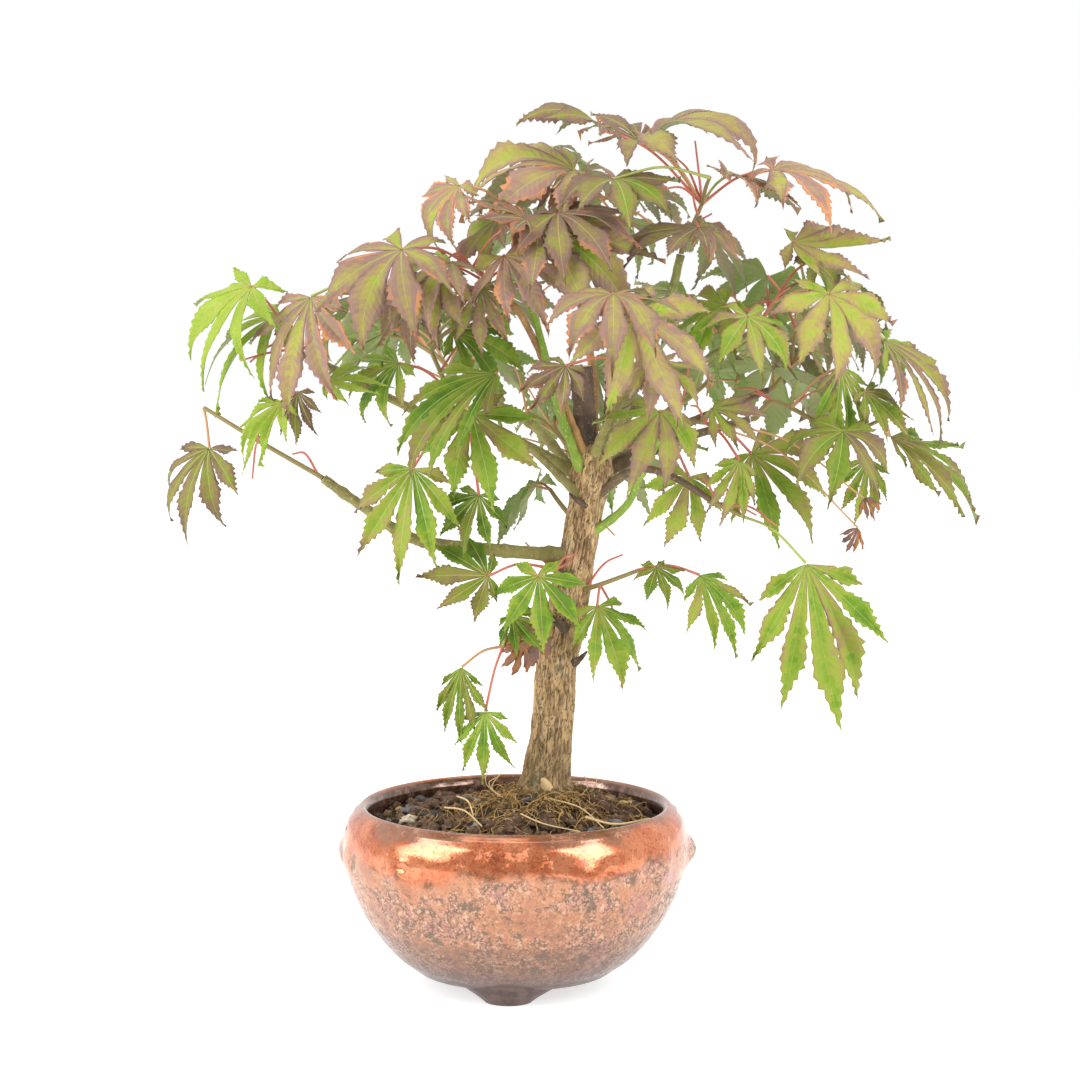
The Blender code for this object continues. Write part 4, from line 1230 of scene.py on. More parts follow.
def pot_skin():
    """The pot's wall as one turned skin, with its bosses, the two side knobs and the pits."""
    inner, outer = POT_PROFILE[:9], POT_PROFILE[8:]
    rows = round_profile(inner[1:], WALL_STEPS)[:-1] + round_profile(outer[:-1], WALL_STEPS)
    points, maps = [], []
    for i, (radius, z) in enumerate(rows):
        outside = radius > LIP_MIDDLE or z < UNDER_SHOULDER and i >= len(rows) // 2
        for k in range(GLAZE_TURNS):
            turn = math.tau * k / GLAZE_TURNS
            point = Vector((radius * math.cos(turn), radius * math.sin(turn), z))
            if outside:
                outwards = point.xy.normalized().to_3d()
                point += outwards * (shoulder_bulge(point) + glaze_shape(point))
            points.append(point)
            maps.append((k / GLAZE_TURNS, z / MAP_SPAN))
    faces = [tuple(reversed(face)) for face in ring_faces(len(rows), GLAZE_TURNS)]
    return points, faces, maps


FOOT_CLAY = (  # the foot as it is thrown: height, half its length and half its depth
    (0, 8.0, 5.2), (0.5, 8.6, 5.6), (2, 11, 6.2), (4, 15, 7.2), (5.6, 19, 8), (7.4, 23, 9),
    (10, 25, 9),
)
FOOT_RING = 48


def foot_skin(turn):
    """A short foot that flares up into the pot's base."""
    rows = smooth_way([Vector(row) for row in FOOT_CLAY], FOOT_STEPS)
    out = Vector((math.cos(turn), math.sin(turn), 0))
    along = Vector((-out.y, out.x, 0))
    points = []
    for z, half_length, half_depth in rows:
        middle = out * FOOT_CIRCLE + Vector((0, 0, max(0.0, z)))
        for k in range(FOOT_RING):
            angle = math.tau * k / FOOT_RING
            sideways = half_length * math.sin(angle)
            bow = FOOT_CIRCLE - math.sqrt(FOOT_CIRCLE ** 2 - sideways ** 2)
            points.append(middle + out * (math.cos(angle) * half_depth - bow) + along * sideways)
    return points, ring_faces(len(rows), FOOT_RING)


SOIL_REACH = 51.2
SOIL_RINGS, SOIL_SIDES = 56, 180
SOIL_UNDER = 0.9  # how far the soil's skin lies under the loose grains


def soil_skin():
    """The soil's uneven top, a little under the grains, down to the wall."""
    points, faces = [], []
    for ring in range(SOIL_RINGS + 1):
        radius = SOIL_REACH * ring / SOIL_RINGS
        for k in range(SOIL_SIDES):
            turn = math.tau * k / SOIL_SIDES
            x, y = radius * math.cos(turn), radius * math.sin(turn)
            swell = noise.noise(Vector((x, y, 0)) * 0.13)
            bump = noise.noise(Vector((x, y, 5)) * 0.4)
            z = soil_height(x, y) - SOIL_UNDER
            z += 0.9 * swell + 0.6 * bump
            points.append(Vector((x, y, z - 6 if ring == SOIL_RINGS else z)))
    for ring in range(SOIL_RINGS):
        for k in range(SOIL_SIDES):
            a, b = ring * SOIL_SIDES + k, ring * SOIL_SIDES + (k + 1) % SOIL_SIDES
            faces.append((a, a + SOIL_SIDES, b + SOIL_SIDES, b))
    return points, faces


def grain_tree():
    """Geometry Nodes: uneven grains strewn over a surface, each turned and sized by chance."""
    tree, given, result = maker_tree("grains_on_soil", {
        "Surface": "Geometry", "Density": "Float", "Least": "Float", "Most": "Float",
        "Seed": "Int", "Finish": "Material"}, "Grains")
    spread = add(tree, "GeometryNodeDistributePointsOnFaces", {
        "Mesh": given.outputs["Surface"], "Density": given.outputs["Density"],
        "Seed": given.outputs["Seed"]})
    grain = add(tree, "GeometryNodeMeshIcoSphere", {"Radius": 1.0, "Subdivisions": 1})
    turn = add(tree, "FunctionNodeRandomValue", {
        1: (math.tau, math.tau, math.tau), "Seed": given.outputs["Seed"]}, data_type="FLOAT_VECTOR")
    size = add(tree, "FunctionNodeRandomValue", {
        2: given.outputs["Least"], 3: given.outputs["Most"], "Seed": given.outputs["Seed"]},
        data_type="FLOAT")
    strewn = add(tree, "GeometryNodeInstanceOnPoints", {
        "Points": spread.outputs["Points"], "Instance": grain.outputs[0],
        "Rotation": turn.outputs[0]})
    tree.links.new(size.outputs[1], strewn.inputs["Scale"])
    real = add(tree, "GeometryNodeRealizeInstances", {"Geometry": strewn.outputs[0]})
    spot = add(tree, "GeometryNodeInputPosition")
    rough = add(tree, "ShaderNodeTexNoise", {
        "Vector": spot.outputs[0], "Scale": 420.0, "Detail": 1.0})
    centred = vector_maths(tree, "SUBTRACT", rough.outputs["Color"], (0.5, 0.5, 0.5))
    push = vector_maths(tree, "SCALE", centred, scale=given.outputs["Most"])
    lumpy = add(tree, "GeometryNodeSetPosition", {"Geometry": real.outputs[0], "Offset": push})
    dressed = add(tree, "GeometryNodeSetMaterial", {
        "Geometry": lumpy.outputs[0], "Material": given.outputs["Finish"]})
    tree.links.new(dressed.outputs[0], result.inputs[0])
    return tree


# ---------------------------------------------------------------- pot, soil and wood finishes

def grain_group():
    """Fine unevenness that several finishes share: a mask of patches, and a height for relief."""
    group, given, result = group_of(
        "fine_grain", {"Patches": 60.0, "Grains": 900.0, "Flatten": 1.0}, ("Mask", "Height"))
    where = object_place(group)
    squash = add(group, "ShaderNodeCombineXYZ", {0: 1.0, 1: 1.0, 2: given.outputs["Flatten"]})
    turned = vector_maths(group, "MULTIPLY", where, squash.outputs[0])
    mask = add(group, "ShaderNodeTexNoise", {
        "Vector": turned, "Scale": given.outputs["Patches"], "Detail": 5.0, "Roughness": 0.6})
    fine = add(group, "ShaderNodeTexNoise", {
        "Vector": turned, "Scale": given.outputs["Grains"], "Detail": 4.0})
    group.links.new(mask.outputs[0], result.inputs["Mask"])
    group.links.new(fine.outputs[0], result.inputs["Height"])
    return group


GRAIN = grain_group()


def mark_of(tree):
    return add(tree, "ShaderNodeAttribute", attribute_name="mark").outputs["Fac"]


def trunk_bark():
    """Tan plates between dark fissures, whose darkness is part darker bark and part painted shade,
    with painted shadow in the knots' pits, darker and mossy towards the soil.
    """
    look = _, tree, _ = finish("trunk_bark", (140, 112, 80), 0.9)
    grain = place_group(tree, GRAIN, {"Patches": 190.0, "Grains": 1500.0, "Flatten": 0.3})
    where = object_place(tree)
    height = add(tree, "ShaderNodeSeparateXYZ", {0: where}).outputs[2]
    plates = steps(tree, grain.outputs["Mask"], (
        (0.28, (152, 120, 82)), (0.43, (192, 156, 108)), (0.56, (220, 184, 132)),
        (0.7, (236, 210, 166))), False)
    streaks = fade(tree, speckle(tree, where, 1000.0, 4.0, 0.65, (1, 1, 0.2)), 0.4, 0.52, 1.0, 0.0)
    plates = patch(tree, plates, streaks, 0.6, (108, 82, 58))
    flakes = fade(tree, speckle(tree, where, 620.0, 3.0, 0.6, (1, 1, 0.34)), 0.58, 0.66)
    plates = patch(tree, plates, flakes, 0.5, (216, 198, 168))
    # fissures and knot pits darkened: part darker bark, part painted shade
    deep = times(tree, mark_of(tree), 1.1, True)
    fissure_bark_and_shade = blend(tree, fade(tree, deep, 0.3, 0.9, 0.0, 0.85), plates, (84, 64, 48))
    moss = speckle(tree, where, 260.0, 4.0)
    low = band(tree, height, 0.066, 0.098, 0.75, 0.0)
    mossy = times(tree, low, fade(tree, moss, 0.4, 0.6))
    grimy = patch(tree, fissure_bark_and_shade, low, 0.55, (74, 56, 38))
    colour = blend(tree, mossy, grimy, (96, 88, 46))
    rough = maths(tree, "SUBTRACT", grain.outputs["Height"], times(tree, streaks, 0.6))
    return finished(look, colour, rough, 0.8, 0.0006)


def wood_finish(name, dark, light, speck, low=0.35, patches=90.0, rough=0.7, hollow_shade_and_node_share=0.6):
    """Young bark: long streaks of two tones, small lenticels, darker leaf nodes, and painted shade
    in the hollows of its relief.
    """
    look = _, tree, _ = finish(name, light, rough)
    grain = place_group(tree, GRAIN, {"Patches": patches, "Grains": 1600.0, "Flatten": 0.4})
    streaks = fade(tree, grain.outputs["Mask"], low, low + 0.3, smooth=True)
    base = blend(tree, streaks, dark, light)
    dots = fade(tree, speckle(tree, object_place(tree), 1250.0, 1.0), 0.63, 0.69, 0.0, 0.8)
    spotted = blend(tree, dots, base, speck)
    # darker at the leaf nodes, and in the relief's hollows as painted shade
    darker = times(tree, fade(tree, mark_of(tree), 0.5, 1.0), hollow_shade_and_node_share)
    colour = blend(tree, darker, spotted, dark)
    return finished(look, colour, grain.outputs["Height"], 0.5, 0.0004)


def cut_wood():
    """A cut end: pale wood with a darker heart and rings."""
    look = _, tree, _ = finish("cut_wood", (214, 196, 150), 0.8)
    rings = speckle(tree, object_place(tree), 700.0, 2.0)
    tone = steps(tree, rings, ((0.35, (170, 140, 96)), (0.6, (222, 206, 162))))
    return finished(look, tone, rings, 0.4, 0.0003)


def plain_stem(name, colour, rough=0.5):
    """A petiole or fine twig: one colour, finely uneven."""
    look = _, tree, _ = finish(name, colour, rough)
    grain = place_group(tree, GRAIN, {"Grains": 2500.0})
    return finished(look, None, grain.outputs["Height"], 0.25, 0.0002)


def band(tree, value, start, end, first=0.0, last=1.0):
    """From first to last as the value goes from start to end."""
    made = add(tree, "ShaderNodeMapRange", {0: value, 1: start, 2: end, 3: first, 4: last})
    return made.outputs[0]


def cells(tree, where, scale):
    """Small uneven cells: how far a point is from its cell's edge, as a share of a cell."""
    uneven = add(tree, "ShaderNodeTexNoise", {
        "Vector": where, "Scale": scale * 0.8, "Detail": 2.0}).outputs["Color"]
    shift = vector_maths(tree, "SUBTRACT", uneven, (0.5, 0.5, 0.5))
    small = vector_maths(tree, "SCALE", shift, scale=1.9 / scale)
    moved = vector_maths(tree, "ADD", where, small)
    return add(tree, "ShaderNodeTexVoronoi", {"Vector": moved, "Scale": scale},
               feature="DISTANCE_TO_EDGE").outputs["Distance"]


def copper_glaze():
    """A lustrous copper glaze: copper red round the shoulder, darkened there as a painted
    reflection of the dark room above, peach below it with a fine crackle that turns grey-brown
    towards the base, a darker band near the base that is part brown clay and part painted shade,
    grey clay on the lip, bare brown clay on the feet."""
    look = _, tree, shader = finish("copper_glaze", (208, 156, 128), 0.3)
    where = object_place(tree)
    height = add(tree, "ShaderNodeSeparateXYZ", {0: where}).outputs[2]
    big = speckle(tree, where, 30.0, 3.0)
    medium = speckle(tree, where, 75.0, 4.0, 0.65)
    fine = speckle(tree, where, 900.0, 3.0, 0.6)
    crackle = cells(tree, where, 700.0)
    # the body
    body = steps(tree, medium, (
        (0.32, (184, 122, 92)), (0.45, (204, 142, 104)), (0.56, (202, 148, 120)),
        (0.7, (188, 136, 122))))
    pink = fade(tree, speckle(tree, where, 42.0, 3.0, 0.6, (1, 1, 1.3)), 0.56, 0.68, smooth=True)
    body = patch(tree, body, pink, 0.5, (198, 134, 140))
    dots = fade(tree, fine, 0.36, 0.52)
    body = patch(tree, body, rest(tree, dots), 0.5, (160, 104, 76))
    low = band(tree, height, 0.050, 0.012, 0.0, 1.0)
    veil = times(tree, low, fade(tree, medium, 0.3, 0.6, 1.0, 0.35, True))
    body = patch(tree, body, veil, 0.6, (150, 114, 98))
    wear = maths(tree, "ADD", medium, times(tree, low, 0.14))
    worn = fade(tree, wear, 0.42, 0.6, 0.12, smooth=True)
    edges = rest(tree, fade(tree, crackle, 0.06, 0.24))
    broken = fade(tree, speckle(tree, where, 420.0, 2.0), 0.4, 0.55, 0.15, 1.0)
    lines = times(tree, times(tree, edges, broken), most(tree, worn, times(tree, low, 0.85)))
    body = patch(tree, body, lines, 0.9, (96, 76, 60))
    pale = fade(tree, speckle(tree, where, 620.0, 2.0, 0.6), 0.56, 0.64, 0.0, 0.55)
    body = blend(tree, times(tree, pale, worn), body, (228, 190, 158))
    spots = speckle(tree, where, 165.0, 5.0, 0.72)
    blotch = fade(tree, maths(tree, "ADD", spots, times(tree, low, 0.02)), 0.585, 0.62)
    body = patch(tree, body, blotch, 0.75, (98, 80, 60))
    # the shoulder band, copper-red glaze darkened as a painted reflection of the dark room above,
    # ends in a wavy line
    wavy = maths(tree, "ADD", height, times(tree, maths(tree, "SUBTRACT", big, 0.5), 0.020))
    wavy = maths(tree, "ADD", wavy, times(tree, maths(tree, "SUBTRACT", fine, 0.5), 0.005))
    shoulder_reflection_band = band(tree, wavy, 0.0480, 0.0515)
    shoulder_glaze_and_reflection = steps(tree, speckle(tree, where, 110.0, 4.0, 0.65), (
        (0.32, (164, 80, 48)), (0.45, (204, 110, 68)), (0.58, (220, 136, 94)),
        (0.72, (186, 104, 72))))
    sparks = fade(tree, fine, 0.5, 0.62, smooth=True)
    shoulder_glaze_and_reflection = patch(tree, shoulder_glaze_and_reflection, sparks, 0.65, (216, 142, 96))
    grains = fade(tree, speckle(tree, where, 1300.0, 2.0), 0.34, 0.44, 1.0, 0.0)
    shoulder_glaze_and_reflection = patch(tree, shoulder_glaze_and_reflection, grains, 0.6, (112, 52, 32))
    # a broken dark line along the band's edge, the horizon of the painted reflection
    rim = rest(tree, maths(tree, "ABSOLUTE", maths(tree, "SUBTRACT", shoulder_reflection_band, 0.5)))
    lines = times(tree, lines, rest(tree, shoulder_reflection_band, True))
    colour = blend(tree, shoulder_reflection_band, body, shoulder_glaze_and_reflection)
    edge = times(tree, fade(tree, rim, 0.55, 0.95, smooth=True),
                 fade(tree, speckle(tree, where, 160.0, 3.0), 0.45, 0.6))
    colour = patch(tree, colour, edge, 0.75, (104, 68, 40))
    # the lip wears through to grey clay, and the inside is dark
    lip = band(tree, wavy, 0.0592, 0.0618)
    colour = blend(tree, times(tree, lip, 0.75), colour, steps(tree, medium, (
        (0.4, (122, 86, 64)), (0.6, (158, 118, 96)))))
    across = vector_maths(tree, "SUBTRACT", where, (*POT_AXIS.xy, 0))
    radius = vector_maths(tree, "LENGTH", vector_maths(tree, "MULTIPLY", across, (1, 1, 0)))
    inside = times(tree, band(tree, radius, 0.0520, 0.0512), band(tree, height, 0.02, 0.03))
    colour = blend(tree, inside, colour, steps(tree, speckle(tree, where, 420.0, 4.0, 0.6), (
        (0.38, (92, 66, 56)), (0.55, (124, 94, 80)), (0.68, (160, 126, 110)))))
    uneven = maths(tree, "ADD", height, times(tree, fine, 0.001))
    clay = band(tree, uneven, 0.0078, 0.0092, 1.0, 0.0)
    # darker towards the base: part brown clay, part painted shade under the bowl
    base_clay_and_shade = band(tree, height, 0.026, 0.0085)
    colour = patch(tree, colour, base_clay_and_shade, 0.85, (96, 72, 64))
    bare = steps(tree, speckle(tree, where, 260.0, 4.0), (
        (0.35, (76, 56, 50)), (0.65, (106, 82, 74))))
    colour = blend(tree, clay, colour, bare)
    matt = most(tree, most(tree, lines, blotch), clay, True)
    soft = add(tree, "ShaderNodeMix", {0: shoulder_reflection_band, 2: 0.30, 3: 0.12}, data_type="FLOAT").outputs[0]
    tree.links.new(maths(tree, "ADD", soft, times(tree, matt, 0.35), True),
                   shader.inputs["Roughness"])
    lustre = times(tree, rest(tree, matt), 0.62)
    tree.links.new(lustre, shader.inputs["Metallic"])
    shader.inputs["Coat Weight"].default_value = 0.5
    shader.inputs["Coat Roughness"].default_value = 0.07
    relief = maths(tree, "ADD", times(tree, lines, -0.4), times(tree, fine, 0.4))
    return finished(look, colour, relief, 0.3, 0.0004)


EARTH_STOPS = (0.3, 0.5, 0.7)  # where a patch takes its dark, middle and light tone


def earth(name, tones, patches=500.0, rough=0.95):
    """Soil or stone: patches of a few tones, rough all over."""
    look = _, tree, _ = finish(name, tones[1], rough)
    grain = place_group(tree, GRAIN, {"Patches": patches, "Grains": 2600.0})
    tone = steps(tree, grain.outputs["Mask"], list(zip(EARTH_STOPS, tones)))
    return finished(look, tone, grain.outputs["Height"], 0.8, 0.0006)


def floor_finish():
    """A lit white table: it glows enough to stay white, and still takes a faint shadow."""
    made, _, shader = finish("pale_floor", (0.6, 0.6, 0.6), 0.95)
    shader.inputs["Emission Color"].default_value = (1, 1, 1, 1)
    shader.inputs["Emission Strength"].default_value = 0.64
    return made


# ---------------------------------------------------------------- dressing

# How far each mass has turned: least and most, and how much further at a leaf's margin
TURNED = {
    "leaves_top": (0.36, 0.64, 0.42), "leaves_crown_left": (0.32, 0.56, 0.42),
    "leaves_drape": (0.34, 0.6, 0.40), "leaves_left_mid": (0.08, 0.2, 0.16),
    "leaves_far_left": (0.0, 0.2, 0.2), "leaves_low_left": (0.35, 0.5, 0.35),
    "leaves_trunk_left": (0.1, 0.3, 0.2), "leaves_trunk_front": (0.1, 0.2, 0.2),
    "leaves_trunk_right": (0.12, 0.24, 0.12), "leaves_right_low": (0.14, 0.2, 0.2),
    "leaves_right_fold": (0.2, 0.4, 0.3), "leaves_right": (0.15, 0.35, 0.3),
    "leaves_right_upper": (0.2, 0.42, 0.34), "leaves_front": (0.34, 0.54, 0.4),
    "leaves_back_left": (0.1, 0.45, 0.25), "leaves_back_right": (0.1, 0.45, 0.25),
    "leaves_back_high": (0.15, 0.5, 0.3), "leaves_back_far": (0.1, 0.4, 0.25),
    "leaves_back_low": (0.1, 0.3, 0.2), "leaves_trunk_back": (0.1, 0.3, 0.2),
}
MARGIN_STRAY = (0.7, 1.2)
DRY_TIP = (0.05, 0.35)
LIME_MASSES = ("leaves_far_left",)
FINE_LEAVES = 3  # small young leaves that a mass's finer twigs carry
FINE_BACK_LEAVES = 7
FINE_RISE = (-0.2, 0.7)
FINE_PETIOLE = (0.15, 0.4)
FINE_LENGTH = (11.0, 20.0)
FINE_SPREAD = (0.6, 1.0)
FINE_TRIES = 60


def tint_for(name, draw):
    least, most, margin = TURNED[name]
    return Tint(
        draw.uniform(least, most), margin * draw.uniform(*MARGIN_STRAY), draw.uniform(*DRY_TIP),
        # which copy of its tints a leaf wears is drawn at random: the darker one is painted shade,
        # the lighter one painted light
        draw.choice(("dark", "mid", "mid", "light")), draw.choice(("lime", "lime", "pale", "rose")),
        name in LIME_MASSES)


def grow_all():
    """Every mass by its source's rule, {name: (stem, twigs, leaves)}, and what fills the space."""
    taken = [tree_of(trunk_shape()), *(tree_of(limb_shape(name)) for name in LIMBS)]
    grown = {}
    for name in MASSES:
        stem, twigs, leaves = grow(name, taken)
        shapes = [sweep(stem, tapered(len(stem), STEM_RADIUS, TWIG_RADIUS), STEM_SIDES)]
        shapes += [sweep(twig, [TWIG_RADIUS] * 2, TWIG_SIDES) for twig in twigs]
        for leaf in leaves:
            shapes += [petiole_shape(leaf), blade_shape(leaf)]
        taken.append(tree_of(*shapes))
        grown[name] = (stem, twigs, leaves)
    return grown, taken


def nodes_of(stem, twigs):
    """Where a finer leaf or a stalk may leave a mass's wood."""
    return [*stem[1:], *(twig[-1] for twig in twigs)]


def finer_leaves(name, stem, twigs, taken):
    """The rule carried on: young leaves on short fine twigs, within the mass's reach."""
    mass = MASSES[name]
    draw = random.Random(name + " finer")
    nodes = nodes_of(stem, twigs)
    wanted = FINE_BACK_LEAVES if "back" in name else FINE_LEAVES
    found, own = [], []
    for _ in range(FINE_TRIES):
        if len(found) == wanted:
            break
        root = nodes[draw.randrange(len(nodes))]
        leaf, tip = leaf_by_rule(
            mass, root, draw, FINE_RISE, FINE_PETIOLE, FINE_LENGTH, FINE_SPREAD)
        if (tip - nodes[0]).length < mass.reach and leaf_is_clear(leaf, taken, own):
            found.append(leaf)
            own.append(tree_of(blade_shape(leaf)))
    return found


BARE_STALKS = 5  # stalks in each mass that have lost their leaf
BARE_LENGTH = (10.0, 24.0)
DRIED = (  # dried leaves: the mass they hang in, the blade's foot and tip, its bend and spread
    ("leaves_trunk_left", (8, -13, 126), (-4, -15, 112), 0.9, 0.75),
    ("leaves_trunk_left", (3, -14, 122), (-1, -13, 108), 1.3, 0.6),
    ("leaves_top", (12, -10, 274), (7, -14, 267), 1.6, 0.8),
    ("leaves_top", (15, -9, 273), (19, -12, 266), 1.8, 0.7),
    ("leaves_right_fold", (118, -12, 170), (122, -14, 162), 1.7, 0.6),
    ("leaves_right_fold", (116, -12, 160), (111, -13, 151), 1.7, 0.5),
)


def bare_stalks(name, stem, twigs):
    """Thin stalks whose leaves have fallen, within the mass's reach."""
    draw = random.Random(name + " bare")
    nodes = nodes_of(stem, twigs)
    ways = []
    for _ in range(BARE_STALKS):
        root = nodes[draw.randrange(len(nodes))]
        heading = Vector([draw.uniform(least, 1) for least in (-1, -1, -0.4)]).normalized()
        tip = root + heading * draw.uniform(*BARE_LENGTH)
        way = smooth_way(arched(root, tip, draw.uniform(-1, 4)), 5)
        if (tip - nodes[0]).length < MASSES[name].reach:
            ways.append(tapered_way(way, 0.5, 0.3))
    return ways


PETIOLE_COLOURS = {
    "petiole_rose": (200, 112, 92), "petiole_tan": (196, 146, 102), "petiole_green": (164, 172, 90),
}


def hang_dried(piece, stalks, stem, twigs, foot, tip, bend, spread):
    """A small dried leaf on a stalk from the nearest twig."""
    nodes = nodes_of(stem, twigs)
    root = min(nodes, key=lambda node: (node - foot).length)
    draw = random.Random(str(foot))
    leaf = leaf_towards(root, foot, tip, Vector((0.2, -1, 0.3)), bend, spread)
    # a dried leaf wears the darker copy of its tints, painted shade
    leaf_blade(piece, leaf, Tint(0.86, 0.1, 0.2, "dark", "rose"), draw, True)
    stalks.append(tapered_way(smooth_way(petiole_way(leaf), 7), 0.4, 0.3))


def dress_masses():
    grown, taken = grow_all()
    blades = {"green_leaves": Piece(), "bronze_leaves": Piece(), "back_leaves": Piece()}
    stems = {key: [] for key in PETIOLE_COLOURS}
    nodes = {key: [] for key in blades}
    twig_ways = []
    for name, (stem, twigs, leaves) in grown.items():
        stems["petiole_tan" if "back" in name else "petiole_rose"] += bare_stalks(name, stem, twigs)
        for mass, foot, tip, bend, spread in DRIED:
            if mass == name:
                hang_dried(blades["bronze_leaves"], stems["petiole_tan"], stem, twigs,
                           Vector(foot), Vector(tip), bend, spread)
        key = "back_leaves" if "back" in name else (
            "bronze_leaves" if TURNED[name][0] >= 0.25 else "green_leaves")
        nodes[key].append(name)
        draw = random.Random(name + " tints")
        small = finer_leaves(name, stem, twigs, taken)
        for leaf in leaves + small:
            tiny = leaf in small
            leaf_blade(blades[key], leaf, tint_for(name, draw), draw, tiny)
            way = smooth_way(petiole_way(leaf), 7)
            thin, last = 0.34 if tiny else 0.46, len(way) - 1
            radii = [thin * (1 + 0.6 * math.exp(-i / 1.2) + 0.2 * math.exp(-(last - i) / 1.2))
                     for i in range(last + 1)]
            kind = draw.choice(("petiole_rose", "petiole_rose", "petiole_tan", "petiole_green"))
            stems[kind].append((way, radii))
        twig_ways.append(tapered_way(smooth_way(stem, 4), 0.95, 0.7))
        twig_ways += [tapered_way(smooth_way(arched(*twig, 1.2), 5), 0.8, 0.6) for twig in twigs]
    for key, piece in blades.items():
        slot = "leaf_bronze" if key == "bronze_leaves" else "leaf_green"
        place(key, piece, LEAF_FINISHES, slot, nodes[key])
    for key, colour in PETIOLE_COLOURS.items():
        tubes(key + "s", stems[key], plain_stem(key, colour), 7)
    tubes("fine_twigs", twig_ways, plain_stem("twig_olive", (146, 128, 78), 0.6), 8)


SHOOTS = {  # which finish each limb wears
    "bough_green": 0, "bough_left_shoot": 1, "bough_green_low": 1, "bough_left_up": 2,
    "bough_brown": 3, "bough_left_long": 2, "bough_low_left": 2, "bough_right_dark": 4,
    "bough_right_low": 4, "bough_right_up": 0, "bough_front": 2, "bough_back_left": 2,
    "bough_back_right": 0, "bough_back_high": 3, "bough_back_far": 4, "bough_back_low": 2,
}
DEAD_STUBS = {"leader_stub": (4.1, 3.7), "dead_stub": (1.9, 1.2)}


def dress_wood():
    trunk = trunk_skin()
    place("trunk_bark", trunk, [trunk_bark()], "bark", ["trunk"])
    old = Piece()
    for name, (foot, tip) in DEAD_STUBS.items():
        points = [Vector(point) for point in LIMBS[name][2]]
        points[0] -= Vector((0, 0, 7))
        limb_skin(old, fine_way(points), foot, tip, name, (0, 1), relief=0.16, swell=0.04)
    for foot, tip, radius in SPIKES:
        limb_skin(old, fine_way(arched(foot, tip, -0.4)), radius, 0.35, str(foot), (0, 0),
                  relief=0.25, swell=0.0)
    dead = wood_finish("dead_wood", (66, 52, 44), (112, 94, 78), (150, 132, 108),
                       patches=140.0, rough=0.95)
    place("dead_stubs", old, [dead, cut_wood()], "bark", list(DEAD_STUBS))
    boughs = Piece()
    for name, kind in SHOOTS.items():
        foot, tip, points = LIMBS[name]
        cut = name == "bough_green"
        limb_skin(boughs, fine_way(points), foot, tip, name, (kind, 5 if cut else kind), cut, 0.35)
    finishes = [
        wood_finish("stout_green_bark", (110, 108, 62), (150, 152, 84), (196, 190, 140)),
        wood_finish("bright_shoot", (122, 150, 52), (154, 182, 70), (196, 204, 120)),
        wood_finish("olive_shoot", (122, 112, 62), (156, 148, 84), (190, 178, 130)),
        wood_finish("tan_shoot", (146, 104, 66), (190, 146, 92), (214, 180, 130)),
        wood_finish("brown_shoot", (88, 70, 52), (126, 106, 76), (160, 140, 108)),
        cut_wood(),
    ]
    place("boughs_bark", boughs, finishes, "green_wood", list(SHOOTS))


FIBRES = 900
FIBRE_STEPS = 7
LEDGE = 47.5  # the soil's loose things lie within this of the pot's axis


def fibre_way(draw, x, y, length, lift):
    """A fine root that wanders over the soil."""
    heading = draw.uniform(0, math.tau)
    rise = draw.uniform(0.2, lift)
    way = []
    for i in range(FIBRE_STEPS + 1):
        t = i / FIBRE_STEPS
        z = soil_height(x, y) + 0.2 + rise * math.sin(math.pi * t) + draw.uniform(-0.25, 0.35)
        way.append(Vector((x, y, z)))
        heading += draw.uniform(-0.75, 0.75)
        step = length / FIBRE_STEPS
        nx, ny = x + math.cos(heading) * step, y + math.sin(heading) * step
        if math.hypot(nx, ny) < LEDGE:
            x, y = nx, ny
    return way


ROOTS = (  # radius, then the points of single pale roots and twigs that lie on the soil
    (0.36, ((-24, -14, 64.3), (-17, -22, 64.8), (-11, -30, 61.2))),
    (0.32, ((-20, -4, 66.2), (-16, -14, 66.4), (-14, -24, 63.5))),
    (0.5, ((24, -22, 62.6), (34, -26, 61.0), (46, -14, 60.4))),
    (0.28, ((2, -26, 64.6), (10, -33, 62.6), (22, -36, 60.6))),
    (0.25, ((10, -12, 67.4), (22, -20, 65.6), (30, -32, 60.9))),
)
BUD = ((13, -7, 66.5), (9.4, -10, 73.5), 1.5)  # at the trunk's foot: foot, tip and radius
WISPS = (  # fine curly roots that stand up beside the trunk
    (0.2, ((-4, -6, 66), (-8, -8, 70), (-5, -9, 75), (-2, -8, 77))),
    (0.18, ((-5, -4, 66), (-10, -6, 71), (-9, -7, 76), (-5, -7, 78))),
    (0.18, ((-2, -8, 66), (-6, -10, 68), (-9, -10, 72), (-6, -9, 74))),
    (0.2, ((22, -4, 66), (25, -5, 70), (23, -6, 75))),
    (0.16, ((23, -3, 66), (27, -4, 69), (28, -4, 73), (26, -5, 77))),
)


STONES = (  # place on the soil, half its length, width and height, its turn in degrees, its finish
    (-35, 9, 5.6, 3.2, 1.7, 20, 0), (-37, -5, 3.5, 2.6, 1.8, 70, 1),
    (-17, 19, 2.8, 2.2, 1.8, 0, 0), (5, -12, 3.4, 2.4, 1.5, 110, 2),
    (38, 9, 2.8, 1.8, 0.8, 40, 3), (-28, 1, 2.4, 1.8, 1.4, 10, 2),
    (34, -20, 2.6, 1.8, 1.2, 150, 0), (26, -32, 2.0, 1.5, 1.1, 60, 0),
    (-12, 40, 2.6, 2.0, 1.5, 30, 0), (28, 30, 2.8, 1.9, 1.4, 80, 1),
    (-33, 28, 2.4, 1.8, 1.4, 140, 2), (9, -25, 1.9, 1.4, 1.0, 15, 2),
)
CLODS = 150
CLOD_SIZE = (1.2, 3.0)  # half a clod's length


